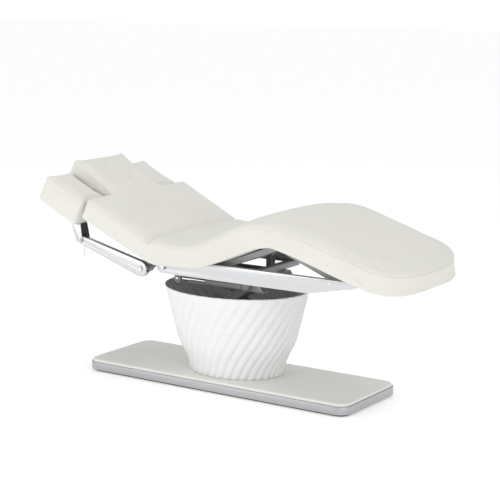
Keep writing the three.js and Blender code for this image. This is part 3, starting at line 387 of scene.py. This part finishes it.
def inflate(made, held, crown, pressure=4.0, frames=20):
    """Lets the piece swell as cloth under pressure; no vertex moves further than the crown."""
    start = read_vertices(made.data)
    group = made.vertex_groups.new(name="held")
    group.add(held, 1.0, "REPLACE")
    cloth = made.modifiers.new("cloth", "CLOTH")
    cloth.settings.use_pressure = True
    cloth.settings.uniform_pressure_force = pressure
    cloth.settings.vertex_group_mass = "held"
    cloth.settings.effector_weights.gravity = 0
    cloth.settings.quality = 4
    cloth.collision_settings.use_collision = False
    cloth.point_cache.frame_start = 1
    cloth.point_cache.frame_end = frames
    scene = bpy.context.scene
    for step in range(1, frames + 1):
        scene.frame_set(step)
    evaluated = made.evaluated_get(bpy.context.evaluated_depsgraph_get())
    moved = read_vertices(evaluated.data) - start
    distance = np.linalg.norm(moved, axis=1, keepdims=True) + 1e-9
    swollen = start + moved / distance * crown * (1 - np.exp(-distance / crown))
    made.modifiers.clear()
    made.vertex_groups.clear()
    scene.frame_set(1)
    move_vertices(made.data, swollen)


def resting(made):
    """The vertices of the underside, which lies on a board."""
    return [v.index for v in made.data.vertices if v.normal.z < -0.45]


def sharpen(made, angle=50.0):
    """Shades the edges of a cut sharp."""
    made.data.shade_smooth()
    made.data.set_sharp_from_angle(angle=math.radians(angle))


def subdivide(made):
    modifier = made.modifiers.new("smooth", "SUBSURF")
    modifier.levels = 1
    modifier.render_levels = 1
    apply_modifiers(made)
    made.data.shade_smooth()


def part_between(source, name, planes):
    """A closed copy of the part of an object on the inner side of each plane, [point, outward normal]."""
    bm = bmesh.new()
    bm.from_mesh(source.data)
    for point, outward in planes:
        everything = [*bm.verts, *bm.edges, *bm.faces]
        cut = bmesh.ops.bisect_plane(
            bm, geom=everything, plane_co=point, plane_no=outward, clear_outer=True
        )
        rim = [e for e in cut["geom_cut"] if isinstance(e, bmesh.types.BMEdge)]
        capped = bmesh.ops.holes_fill(bm, edges=rim, sides=0)["faces"]
        bmesh.ops.recalc_face_normals(bm, faces=capped)
        for edge in rim:
            edge.smooth = False
    return new_object(name, bm, 0)


# ---------- materials ----------
class Nodes:
    """A material's node tree, with short calls to add to it."""

    def __init__(self, name, roughness=0.5, metallic=0.0):
        self.material = bpy.data.materials.new(name)
        self.material.use_nodes = True
        self.tree = self.material.node_tree
        self.shader = self.tree.nodes["Principled BSDF"]
        self.shader.inputs["Roughness"].default_value = roughness
        self.shader.inputs["Metallic"].default_value = metallic
        self.place = self.tree.nodes.new("ShaderNodeTexCoord").outputs["Object"]

    def link(self, out, into):
        self.tree.links.new(out, into)

    def stretched(self, scale):
        mapping = self.tree.nodes.new("ShaderNodeMapping")
        mapping.inputs["Scale"].default_value = scale
        self.link(self.place, mapping.inputs["Vector"])
        return mapping.outputs["Vector"]

    def noise(self, scale, detail=3.0, vector=None):
        node = self.tree.nodes.new("ShaderNodeTexNoise")
        node.inputs["Scale"].default_value = scale
        node.inputs["Detail"].default_value = detail
        self.link(vector or self.place, node.inputs["Vector"])
        return node.outputs["Fac"]

    def cells(self, scale):
        node = self.tree.nodes.new("ShaderNodeTexVoronoi")
        node.feature = "SMOOTH_F1"
        node.inputs["Scale"].default_value = scale
        self.link(self.place, node.inputs["Vector"])
        return node.outputs["Distance"]

    def spread(self, value, low, high, from_low=0.3, from_high=0.7):
        node = self.tree.nodes.new("ShaderNodeMapRange")
        node.inputs["From Min"].default_value = from_low
        node.inputs["From Max"].default_value = from_high
        node.inputs["To Min"].default_value = low
        node.inputs["To Max"].default_value = high
        self.link(value, node.inputs["Value"])
        return node.outputs["Result"]

    def blend(self, value, first, second):
        node = self.tree.nodes.new("ShaderNodeMix")
        node.data_type = "RGBA"
        node.inputs[6].default_value = (*first, 1)
        node.inputs[7].default_value = (*second, 1)
        self.link(value, node.inputs[0])
        return node.outputs[2]

    def colour(self, value, base, change):
        """Colour that varies about a base by a share, with a value from 0 to 1."""
        low = [c * (1 - change) for c in base]
        high = [min(1.0, c * (1 + change)) for c in base]
        self.link(self.blend(value, low, high), self.shader.inputs["Base Color"])

    def roughness(self, value, low, high):
        self.link(self.spread(value, low, high), self.shader.inputs["Roughness"])

    def bump(self, *layers):
        """Bumps on top of each other; each layer is [height, strength, distance]."""
        normal = None
        for height, strength, distance in layers:
            node = self.tree.nodes.new("ShaderNodeBump")
            node.inputs["Strength"].default_value = strength
            node.inputs["Distance"].default_value = distance
            self.link(height, node.inputs["Height"])
            if normal is not None:
                self.link(normal, node.inputs["Normal"])
            normal = node.outputs["Normal"]
        self.link(normal, self.shader.inputs["Normal"])


def leather(name, base, grain=620.0):
    """Soft vinyl: fine pebble grain, slow changes of tone, a faint sheen."""
    nodes = Nodes(name, roughness=0.5)
    tone = nodes.spread(nodes.noise(5.0, 4.0), 0.0, 1.0)
    nodes.colour(tone, base, 0.018)
    nodes.roughness(nodes.noise(38.0, 3.0), 0.44, 0.56)
    nodes.bump(
        (nodes.noise(16.0, 2.0), 0.10, 0.0025),
        (nodes.cells(grain), 0.22, 0.0004),
        (nodes.noise(grain * 2.2, 2.0), 0.10, 0.0002),
    )
    nodes.shader.inputs["Sheen Weight"].default_value = 0.08
    nodes.shader.inputs["Sheen Roughness"].default_value = 0.5
    nodes.shader.inputs["Specular IOR Level"].default_value = 0.35
    return nodes.material


def painted(name, base, roughness=0.45, speckle=0.06):
    """Powder coat: a fine orange peel with tone flecks."""
    nodes = Nodes(name, roughness)
    nodes.colour(nodes.spread(nodes.noise(420.0, 2.0), 0.0, 1.0), base, speckle)
    nodes.roughness(nodes.noise(24.0, 3.0), roughness - 0.07, roughness + 0.07)
    nodes.bump((nodes.noise(900.0, 2.0), 0.12, 0.0003))
    return nodes.material


def brushed(name, base, roughness=0.32, along=(3.0, 900.0, 900.0)):
    """Anodised or brushed metal, its lines along the axis with the small scale."""
    nodes = Nodes(name, roughness, 1.0)
    lines = nodes.noise(1.0, 3.0, nodes.stretched(along))
    nodes.colour(nodes.spread(lines, 0.0, 1.0), base, 0.025)
    nodes.roughness(lines, roughness - 0.06, roughness + 0.08)
    nodes.bump((lines, 0.05, 0.0002))
    return nodes.material


def polished(name, base, roughness=0.14):
    """Chromed metal with faint smears."""
    nodes = Nodes(name, roughness, 1.0)
    nodes.colour(nodes.noise(30.0, 2.0), base, 0.02)
    nodes.roughness(nodes.noise(260.0, 3.0), roughness - 0.05, roughness + 0.08)
    nodes.bump((nodes.noise(1400.0, 1.0), 0.03, 0.0001))
    return nodes.material


def moulded(name, base, roughness=0.38, change=0.012):
    """Moulded or lacquered plastic: a very fine texture and a slow change of tone."""
    nodes = Nodes(name, roughness)
    nodes.colour(nodes.spread(nodes.noise(7.0, 3.0), 0.0, 1.0), base, change)
    nodes.roughness(nodes.noise(60.0, 3.0), roughness - 0.05, roughness + 0.06)
    nodes.bump((nodes.noise(1200.0, 2.0), 0.06, 0.0002))
    return nodes.material


def board(name, base):
    """Stained plywood with faint grain along X."""
    nodes = Nodes(name, roughness=0.7)
    grain = nodes.noise(1.0, 4.0, nodes.stretched((6.0, 140.0, 140.0)))
    nodes.colour(nodes.spread(grain, 0.0, 1.0), base, 0.22)
    nodes.roughness(grain, 0.6, 0.8)
    nodes.bump((grain, 0.2, 0.0004))
    return nodes.material


MATERIALS = {}


def make_materials():
    c = colours()
    MATERIALS.update(
        upholstery=leather("Ivory upholstery", c.upholstery),
        seam=leather("Seam", [0.86 * v for v in c.upholstery], 1400.0),
        mat=leather("Base upholstery", c.mat),
        cover=moulded("Fluted cover", c.cover),
        cover_inside=painted("Cover inside", (0.72, 0.72, 0.72), 0.6),
        rails=brushed("Silver rails", c.rails),
        trim=brushed("Aluminium trim", (0.46, 0.46, 0.475), 0.32),
        steel=painted("Dark steel", c.steel),
        plate=painted("Base steel", (0.20, 0.205, 0.21), 0.5),
        shafts=brushed("Ground steel", (0.46, 0.46, 0.47), 0.3, (900.0, 3.0, 900.0)),
        actuator=painted("Actuator grey", (0.27, 0.275, 0.28), 0.4, 0.03),
        rods=polished("Polished rods", (0.72, 0.73, 0.74)),
        board=board("Black board", (0.045, 0.045, 0.048)),
        rubber=moulded("Rubber", (0.028, 0.028, 0.030), 0.75, 0.08),
        inlet=moulded("Inlet black", (0.02, 0.02, 0.022), 0.5, 0.05),
    )


MATERIAL_OF_SLOT = {
    "rubber_foot": "rubber",
    "base_steel": "plate",
    "trim_aluminium": "trim",
    "mat_vinyl": "mat",
    "inlet_black": "inlet",
    "cover_white": "cover",
    "lift_steel": "steel",
    "shaft_steel": "shafts",
    "actuator_grey": "actuator",
    "rod_chrome": "rods",
    "rail_aluminium": "rails",
    "board_black": "board",
    "upholstery_ivory": "upholstery",
}


def paint_nodes(*nodes):
    """Gives CAD nodes that stay in view the material of their slot."""
    for node in nodes:
        shown = frame["nodes"][node]
        shown.data.materials.clear()
        shown.data.materials.append(MATERIALS[MATERIAL_OF_SLOT[SLOT_OF[node]]])


def soften_nodes(*nodes, width=0.0012):
    for node in nodes:
        softened(node, MATERIALS[MATERIAL_OF_SLOT[SLOT_OF[node]]], width)


# ---------- base ----------
class MakeBase(bpy.types.Operator):
    """Trim, mat and recessed pad of the base"""

    bl_idname = "couch.base"
    bl_label = "Base"

    def execute(self, context):
        paint_nodes("floor_pad", "base_plate")
        soften_nodes("base_trim", width=0.0018)
        soften_nodes("power_inlet", width=0.0008)
        low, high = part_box("base_mat")
        corners = [(high.x, high.y, 0), (low.x, high.y, 90), (low.x, low.y, 180), (high.x, low.y, 270)]
        outline = []
        for x, y, start in corners:
            centre = (x - math.copysign(MAT_CORNER, x), y - math.copysign(MAT_CORNER, y))
            outline += [(px, py, low.z) for px, py in arc(centre, MAT_CORNER, start, start + 90, 10)]
        bm = bmesh.new()
        prism(bm, outline, Vector((0, 0, high.z - low.z)))
        rim = [e for e in bm.edges if all(v.co.z > high.z - 1e-4 for v in e.verts)]
        bevel(bm, rim, MAT_RIM, 5)
        top = max((f for f in bm.faces if f.normal.z > 0.99), key=lambda f: f.calc_area())
        for share, rise in MAT_CROWN:
            made = bmesh.ops.extrude_face_region(bm, geom=[top])["geom"]
            bmesh.ops.delete(bm, geom=[top], context="FACES_ONLY")
            top = next(f for f in made if isinstance(f, bmesh.types.BMFace))
            bmesh.ops.scale(bm, verts=top.verts, vec=(share, share, 1))
            bmesh.ops.translate(bm, verts=top.verts, vec=(0, 0, rise))
        mat = new_object("base_mat_upholstered", bm, 60)
        finish(mat, MATERIALS["mat"], "base", ["base_mat"])
        return {"FINISHED"}


# ---------- fluted cover ----------
class MakeCover(bpy.types.Operator):
    """Oval cover with twisted flutes"""

    bl_idname = "couch.cover"
    bl_label = "Fluted cover"

    def execute(self, context):
        s = sizes()
        low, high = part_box("base_cover")
        height = high.z - low.z
        middle, rim = (high.x + low.x) / 2, (high.x - low.x) / 2
        oval = high.y / rim
        foot, neck = COVER_FOOT_RADIUS, COVER_NECK_RADIUS
        # [share of the height, radius]
        sweep = [(0.0, foot), (0.15, foot + 0.012), (0.38, neck - 0.028), (0.61, neck), (1.0, rim)]
        sweep = smooth_line(sweep)
        faces_per_flute, levels = 12, 40
        bm = bmesh.new()
        bmesh.ops.create_grid(bm, x_segments=s.flutes * faces_per_flute, y_segments=levels, size=0.5)
        for vert in bm.verts:
            turn, share = vert.co.x + 0.5, vert.co.y + 0.5
            lobe = abs(math.sin(math.pi * turn * s.flutes))
            fade = 0.8 * max(0.0, share - 0.90) / 0.10  # the grooves run out at the rim
            reach = height_at(sweep, share) - s.flute_depth * (1 - fade) * (1 - lobe**0.85)
            angle = math.tau * turn + s.twist * share
            across = oval * reach * math.sin(angle)
            vert.co = (middle + reach * math.cos(angle), across, low.z + height * share)
        bmesh.ops.remove_doubles(bm, verts=bm.verts, dist=1e-5)
        bmesh.ops.recalc_face_normals(bm, faces=bm.faces)
        if sum(f.normal.dot(f.calc_center_median()) for f in bm.faces) < 0:
            bmesh.ops.reverse_faces(bm, faces=bm.faces)
        cover = new_object("fluted_cover", bm, 0)
        finish(cover, MATERIALS["cover"], "base", ["base_cover"])
        cover.data.materials.append(MATERIALS["cover_inside"])
        wall = cover.modifiers.new("wall", "SOLIDIFY")
        wall.thickness = COVER_WALL
        wall.offset = -1
        wall.material_offset = 1
        wall.material_offset_rim = 0
        return {"FINISHED"}


# ---------- lift, frame and actuators ----------
class MakeLift(bpy.types.Operator):
    """Scissor lift inside the cover, with its beams"""

    bl_idname = "couch.lift"
    bl_label = "Lift"

    def execute(self, context):
        arms = [f"lift_arm_{level}_{side}" for level in ("lower", "upper") for side in ("outer", "inner")]
        soften_nodes("lift_base", *arms, "lift_beam_left", "lift_beam_right", "lift_actuator_body")
        paint_nodes(
            "lift_base_shaft", "lift_lower_centre_shaft", "lift_lower_roller_shaft",
            "lift_middle_shaft_foot", "lift_middle_shaft_head",
            "lift_upper_centre_shaft", "lift_upper_roller_shaft", "lift_top_shaft", "lift_actuator_rod",
        )
        return {"FINISHED"}


class MakeFrame(bpy.types.Operator):
    """Rails, cross tubes, boards, links and actuators"""

    bl_idname = "couch.frame"
    bl_label = "Frame"

    def execute(self, context):
        soften_nodes("side_rail_left", "side_rail_right", width=0.0015)
        soften_nodes(
            "cross_tube_head", "cross_tube_foot", "back_lever", "thigh_lever", "thigh_frame", "calf_frame",
            "seat_board", "back_board", "back_actuator_body", "leg_actuator_body", width=0.0010,
        )
        for hand in ("left", "right"):
            softened(f"back_hinge_plate_{hand}", MATERIALS["actuator"], 0.0010)
        paint_nodes(
            "back_pivot_shaft", "thigh_pivot_shaft", "knee_shaft", "calf_roller_shaft",
            "back_actuator_rod", "leg_actuator_rod",
        )
        caps = (
            ("back_pivot_cap", PIVOT["back_raise"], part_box("back_pivot_shaft")[1].y + 0.0002, 0.0125),
            ("rail_screw", RAIL_SCREW, RAIL_OUTER + 0.0003, 0.006),
        )
        for side, hand in ((-1, "left"), (1, "right")):
            for name, place, out, radius in caps:
                self.cap(f"{name}_{hand}", place, side, out, radius)
        return {"FINISHED"}

    def cap(self, name, place, side, out, radius):
        """A domed cap with a socket, facing outwards on one side of the frame."""
        rise = 0.45 * radius
        profile = [
            (0.0, rise * 0.45), (radius * 0.42, rise * 0.45), (radius * 0.46, rise),
            (radius * 0.8, rise * 0.9), (radius * 0.97, rise * 0.55), (radius, 0.0), (0.0, 0.0),
        ]
        profile = [(r, side * (out + y)) for r, y in profile]
        centre = Vector((place.x, 0, place.z))
        turned(name, profile, centre, MATERIALS["rods"], "upper_frame")


# ---------- armrests ----------
class MakeArmrests(bpy.types.Operator):
    """Drop armrests beside the head section, with their arms"""

    bl_idname = "couch.armrests"
    bl_label = "Armrests"

    def execute(self, context):
        cushion = self.cushion()
        mirrored = bmesh.new()
        mirrored.from_mesh(cushion.data)
        bmesh.ops.scale(mirrored, vec=(1, -1, 1), verts=mirrored.verts)
        bmesh.ops.reverse_faces(mirrored, faces=mirrored.faces)
        other = new_object("armrest_cushion_right_upholstered", mirrored, 0)
        for piece, hand in ((cushion, "left"), (other, "right")):
            node = f"armrest_cushion_{hand}"
            finish(piece, MATERIALS["upholstery"], f"armrest_{hand}", [node])
            soften_nodes(f"swing_arm_{hand}", f"armrest_bracket_{hand}", width=0.0015)
            soften_nodes(f"armrest_board_{hand}", f"swing_arm_bolt_{hand}", width=0.0006)
            paint_nodes(f"release_lever_{hand}")
        return {"FINISHED"}

    def cushion(self):
        bm = bmesh.new()
        low = (ARMREST_END, -HALF_WIDTH, ARMREST_UNDER)
        high = (ARMREST_START, -ARMREST_INNER, ARMREST_TOP)
        block(bm, low, high, BACK)
        bevel(bm, list(bm.edges), ARMREST_ROUND, 4)
        made = new_object("armrest_cushion_left_upholstered", bm, 0)
        voxelised(made, 0.65 * sizes().voxel, 5, 0.003)
        inflate(made, resting(made), 0.6 * sizes().crown)
        subdivide(made)
        return made


# ---------- long cushion ----------
def top_height(x):
    """Height of the long cushion's top at x, its back and tongue included."""
    if x < CREASE.x:
        along = (CREASE.x - x) / math.cos(BACK_ANGLE)
        beyond = max(0.0, along - (BACK_LENGTH - CREASE_TO_HINGE)) / TONGUE_LENGTH
        return CREASE.z + along * math.sin(BACK_ANGLE) + TONGUE_RISE * beyond
    return height_at(smooth_line(TOP_LINE), x)


def foot_plan():
    """Plan of the foot end, from the near side round to the far side, [x, y]."""
    start = FOOT_END - FOOT_ROUND
    steps, power = 14, 2 / FOOT_FULLNESS
    turns = [math.pi / 2 * k / steps for k in range(steps + 1)]
    quarter = [
        (start + FOOT_ROUND * math.sin(t) ** power, FOOT_HALF_WIDTH * math.cos(t) ** power)
        for t in turns[:-1]
    ]
    near = [(TAPER_START, -HALF_WIDTH), *((x, -y) for x, y in quarter)]
    return [*near, (FOOT_END, 0.0), *reversed(quarter), (TAPER_START, HALF_WIDTH)]


def plan_with_tongue():
    """Plan of the whole cushion along its top edge, closed, [x, y]."""
    head = (BACK @ Vector((-BACK_LENGTH, 0, BACK_TOP))).x
    tip = (BACK @ Vector((-BACK_LENGTH - TONGUE_LENGTH, 0, BACK_TOP))).x
    half = [
        *arc((tip + CORNER_ROUND, TONGUE_HALF_WIDTH - CORNER_ROUND), CORNER_ROUND, 180, 90, 4),
        (head, TONGUE_HALF_WIDTH),
        *arc((head + CORNER_ROUND, HALF_WIDTH - CORNER_ROUND), CORNER_ROUND, 180, 90, 4),
    ]
    near = [(x, -y) for x, y in half]
    return [*near, *foot_plan(), *reversed(half)]


class MakeCushions(bpy.types.Operator):
    """Back, seat and leg cushions as one long upholstered form, the face plug and their seams"""

    bl_idname = "couch.cushions"
    bl_label = "Cushions"

    def execute(self, context):
        whole = self.whole()
        mitre = Vector((-math.cos(BACK_ANGLE / 2), 0, math.sin(BACK_ANGLE / 2)))
        link = (PIVOT["knee"] - PIVOT["leg_raise"]).normalized()
        thigh_split = PIVOT["leg_raise"] + THIGH_SPLIT * link
        self.press_crease(whole, mitre)
        seam = self.seam(whole)
        crease = (CREASE, mitre)
        parts = (
            ("back", [(CREASE, -mitre)], ["back_cushion"]),
            ("seat", [crease, (thigh_split, link)], ["seat_cushion"]),
            ("leg", [(thigh_split, -link)], ["thigh_cushion", "calf_cushion"]),
        )
        for name, planes, nodes in parts:
            piece = part_between(whole, f"{name}_cushion_upholstered", planes)
            if name == "back":
                self.plug(piece)
            finish(piece, MATERIALS["upholstery"], None, nodes)
            thread = part_between(seam, f"{name}_seam", planes)
            finish(thread, MATERIALS["seam"], None)
            for soft in (piece, thread):
                self.bend(soft, name, mitre)
        bpy.data.objects.remove(whole)
        bpy.data.objects.remove(seam)
        return {"FINISHED"}

    def whole(self):
        """The one closed form of the back, seat and legs, inflated."""
        head_top = BACK @ Vector((-BACK_LENGTH, 0, BACK_TOP))
        head_under = BACK @ Vector((-BACK_LENGTH, 0, BACK_UNDER))
        line = [Vector((head_top.x, head_top.z)), *smooth_line(TOP_LINE, 4)]
        line += [*smooth_line(UNDER_LINE, 4), Vector((head_under.x, head_under.z))]
        bm = bmesh.new()
        prism(bm, [(x, -HALF_WIDTH, z) for x, z in line], Vector((0, 2 * HALF_WIDTH, 0)))
        toe = [e for e in bm.edges if all(v.co.x > FOOT_END - 1e-4 for v in e.verts)]
        toe = [e for e in toe if e.calc_face_angle() > 0.9 and abs(e.verts[0].co.y - e.verts[1].co.y) > 0.1]
        bevel(bm, toe, TOE_ROUND, 5)
        made = new_object("long_cushion", bm, 0)

        plan = bmesh.new()
        beyond, above = -1.2, 1.5  # clear of the head end and of the top
        outline = [(beyond, -HALF_WIDTH), *foot_plan(), (beyond, HALF_WIDTH)]
        prism(plan, [(x, y, 0) for x, y in outline], Vector((0, 0, above)))
        combine(made, plan, "INTERSECT")

        tongue = bmesh.new()
        tip, root = -BACK_LENGTH - TONGUE_LENGTH, -BACK_LENGTH + TONGUE_ROOT
        side = [(root, BACK_UNDER), (root, BACK_TOP - 0.004), (root - 0.05, BACK_TOP - 0.0005)]
        side += [(tip, BACK_TOP + TONGUE_RISE), (tip, BACK_UNDER)]
        outline = [BACK @ Vector((x, -TONGUE_HALF_WIDTH, z)) for x, z in side]
        prism(tongue, outline, Vector((0, 2 * TONGUE_HALF_WIDTH, 0)))
        combine(made, tongue, "UNION")

        recess = bmesh.new()
        reach = RAIL_OUTER + 0.004
        block(recess, (SEAT_BOARD_SPAN[0], -reach, 0.5), (SEAT_BOARD_SPAN[1], reach, UNDER_SEAT))
        combine(made, recess, "DIFFERENCE")

        swing = bmesh.new()
        reach = RAIL_OUTER + 0.003
        prism(swing, [(x, -reach, z) for x, z in BOARD_ROOM], Vector((0, 2 * reach, 0)))
        combine(made, swing, "DIFFERENCE")

        voxelised(made, sizes().voxel, 6, -0.001)
        self.raise_dome(made)
        inflate(made, resting(made), sizes().crown)
        subdivide(made)
        return made

    def raise_dome(self, made):
        """Makes the top of the legs higher in the middle than at the sides."""
        places = read_vertices(made.data)
        upward = np.clip(read_vertices(made.data, "normal")[:, 2] / 0.6, 0, 1)
        across = np.clip(1 - (places[:, 1] / HALF_WIDTH) ** 2, 0, 1)
        along = np.clip((places[:, 0] + 0.15) / 0.25, 0, 1) * np.clip((1.0 - places[:, 0]) / 0.3, 0, 1)
        places[:, 2] += sizes().dome * upward * across * (0.35 + 0.65 * along)
        move_vertices(made.data, places)

    def oval(self, bm, grow, low, high):
        """An oval column square to the back, where the face plug is."""
        size = Matrix.Diagonal((PLUG_RADII[0] + grow, PLUG_RADII[1] + grow, high - low, 1))
        place = Matrix.Translation((PLUG_PLACE, 0, (low + high) / 2))
        bmesh.ops.create_cone(
            bm, cap_ends=True, segments=56, radius1=1, radius2=1, depth=1, matrix=BACK @ place @ size
        )

    def plug(self, back):
        """Cuts the face plug out of the back cushion, so that their tops are flush."""
        plug = back.copy()
        plug.data = back.data.copy()
        plug.name = plug.data.name = "face_plug_upholstered"
        bpy.context.scene.collection.objects.link(plug)
        cuts = ((plug, 0.0, BACK_UNDER + PLUG_LIFT, "INTERSECT"), (back, PLUG_GAP, -0.1, "DIFFERENCE"))
        for piece, grow, low, operation in cuts:
            column = bmesh.new()
            self.oval(column, grow, low, 0.25)
            combine(piece, column, operation)
            sharpen(piece)
        finish(plug, MATERIALS["upholstery"], "face_plug", ["face_plug"])

    def press_crease(self, made, mitre):
        """Folds the top in where the back meets the seat."""
        bm = bmesh.new()
        bm.from_mesh(made.data)
        everything = [*bm.verts, *bm.edges, *bm.faces]
        bmesh.ops.bisect_plane(bm, geom=everything, plane_co=CREASE, plane_no=mitre)
        bm.normal_update()
        for vert in bm.verts:
            away = abs((vert.co - CREASE).dot(mitre))
            if away < CREASE_REACH and vert.normal.z > 0.1:
                up = min(1.0, (vert.normal.z - 0.1) / 0.6)
                vert.co.z -= sizes().crease_depth * up * (1 - away / CREASE_REACH) ** 1.6
        bm.to_mesh(made.data)
        bm.free()

    def seam(self, made):
        """A sewn seam just below the top edge, all the way round."""
        surface = BVHTree.FromObject(made, bpy.context.evaluated_depsgraph_get())
        corners = [Vector(p) for p in plan_with_tongue()]
        path = []
        for a, b in zip(corners, corners[1:] + corners[:1]):
            steps = max(1, round((b - a).length / SEAM_STEP))
            path += [a.lerp(b, k / steps) for k in range(steps)]
        outside, through = 0.04, 0.12
        points = []
        for before, here, after in zip(path[-1:] + path[:-1], path, path[1:] + path[:1]):
            along = (after - before).normalized()
            outward = Vector((along.y, -along.x, 0))
            start = Vector((here.x, here.y, top_height(here.x) - SEAM_DROP)) + outside * outward
            hit = surface.ray_cast(start, -outward, through)[0]
            if hit is not None:
                points.append(hit)
        widths = [1.0 if point.x > FOOT_SEAM_START else 0.5 for point in points]
        return thread_along("seam", points, sizes().seam_radius, widths)

    def bend(self, piece, name, mitre):
        """Bakes a soft piece's transform into its mesh; the piece follows no body."""
        if name == "back":
            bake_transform(piece)
        elif name == "seat":
            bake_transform(piece)
        else:
            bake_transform(piece)


def thread_along(name, points, radius, widths):
    """A closed round thread along points, as a mesh; each point has its own share of the radius."""
    curve = bpy.data.curves.new(name, "CURVE")
    curve.dimensions = "3D"
    curve.bevel_depth = radius
    curve.bevel_resolution = 1
    spline = curve.splines.new("POLY")
    spline.points.add(len(points) - 1)
    for point, place, width in zip(spline.points, points, widths):
        point.co = (*place, 1)
        point.radius = width
    spline.use_cyclic_u = True
    holder = bpy.data.objects.new(name, curve)
    bpy.context.scene.collection.objects.link(holder)
    depsgraph = bpy.context.evaluated_depsgraph_get()
    mesh = bpy.data.meshes.new_from_object(holder.evaluated_get(depsgraph))
    bpy.data.objects.remove(holder)
    made = bpy.data.objects.new(name, mesh)
    bpy.context.scene.collection.objects.link(made)
    return made


# ---------- studio ----------
class MakeStage(bpy.types.Operator):
    """Pale floor, soft lights and the camera"""

    bl_idname = "couch.stage"
    bl_label = "Studio"

    def execute(self, context):
        scene = context.scene
        scene.view_settings.view_transform = "Standard"
        self.floor()
        self.world(scene)
        for name, place, power in LIGHTS:
            self.light(name, place, power)
        camera_data = bpy.data.cameras.new("Camera")
        camera_data.lens = CAMERA_LENS
        camera = bpy.data.objects.new("Camera", camera_data)
        camera.location = CAMERA_PLACE
        camera.rotation_euler = (CAMERA_TILT, 0, CAMERA_TURN)
        scene.collection.objects.link(camera)
        scene.camera = camera
        return {"FINISHED"}

    def floor(self):
        bm = bmesh.new()
        bmesh.ops.create_grid(bm, x_segments=1, y_segments=1, size=40)
        floor = new_object("floor", bm, 0)
        nodes = Nodes("Pale floor", roughness=0.9)
        nodes.colour(nodes.noise(0.8, 2.0), (0.93, 0.93, 0.93), 0.004)
        nodes.shader.inputs["Specular IOR Level"].default_value = 0.1
        nodes.shader.inputs["Emission Color"].default_value = (1, 1, 1, 1)
        nodes.shader.inputs["Emission Strength"].default_value = FLOOR_GLOW
        floor.data.materials.append(nodes.material)

    def world(self, scene):
        """White surroundings, brighter to the camera than to the couch."""
        world = bpy.data.worlds.new("Studio")
        world.use_nodes = True
        nodes, links = world.node_tree.nodes, world.node_tree.links
        soft = nodes["Background"]
        soft.inputs["Strength"].default_value = ROOM_LIGHT
        direction = nodes.new("ShaderNodeTexCoord")
        parts = nodes.new("ShaderNodeSeparateXYZ")
        level = nodes.new("ShaderNodeMapRange")
        level.inputs["To Min"].default_value = 1.0
        level.inputs["To Max"].default_value = ROOM_LIGHT_ABOVE
        links.new(direction.outputs["Generated"], parts.inputs[0])
        links.new(parts.outputs["Z"], level.inputs["Value"])
        links.new(level.outputs["Result"], soft.inputs["Color"])
        seen = nodes.new("ShaderNodeBackground")
        seen.inputs["Color"].default_value = (1, 1, 1, 1)
        seen.inputs["Strength"].default_value = BACKDROP
        path = nodes.new("ShaderNodeLightPath")
        mix = nodes.new("ShaderNodeMixShader")
        links.new(path.outputs["Is Camera Ray"], mix.inputs[0])
        links.new(soft.outputs[0], mix.inputs[1])
        links.new(seen.outputs[0], mix.inputs[2])
        links.new(mix.outputs[0], nodes["World Output"].inputs["Surface"])
        scene.world = world

    def light(self, name, place, power):
        data = bpy.data.lights.new(name, "AREA")
        data.size = LIGHT_SIZE
        data.energy = power
        lamp = bpy.data.objects.new(name, data)
        lamp.location = place
        lamp.rotation_euler = (LIGHT_AIM - Vector(place)).to_track_quat("-Z", "Y").to_euler()
        bpy.context.scene.collection.objects.link(lamp)


# ---------- add-on ----------
class COUCH_PT_panel(bpy.types.Panel):
    """Sizes, colours and pieces of the couch."""

    bl_label = "Treatment couch"
    bl_space_type = "VIEW_3D"
    bl_region_type = "UI"
    bl_category = "Couch"

    def draw(self, context):
        for group in (context.scene.couch_sizes, context.scene.couch_colours):
            for name in group.bl_rna.properties.keys():
                if name not in ("rna_type", "name"):
                    self.layout.prop(group, name)
        for operator in OPERATORS:
            self.layout.operator(operator.bl_idname)


OPERATORS = (MakeStage, MakeBase, MakeCover, MakeLift, MakeFrame, MakeArmrests, MakeCushions)
CLASSES = (CouchSizes, CouchColours, *OPERATORS, COUCH_PT_panel)


def register():
    for cls in CLASSES:
        bpy.utils.register_class(cls)
    bpy.types.Scene.couch_sizes = PointerProperty(type=CouchSizes)
    bpy.types.Scene.couch_colours = PointerProperty(type=CouchColours)


def unregister():
    del bpy.types.Scene.couch_colours
    del bpy.types.Scene.couch_sizes
    for cls in reversed(CLASSES):
        bpy.utils.unregister_class(cls)


def main():
    register()
    make_materials()
    bpy.ops.couch.stage()
    bpy.ops.couch.base()
    bpy.ops.couch.cover()
    bpy.ops.couch.lift()
    bpy.ops.couch.frame()
    bpy.ops.couch.armrests()
    bpy.ops.couch.cushions()


if __name__ == "__main__":
    main()
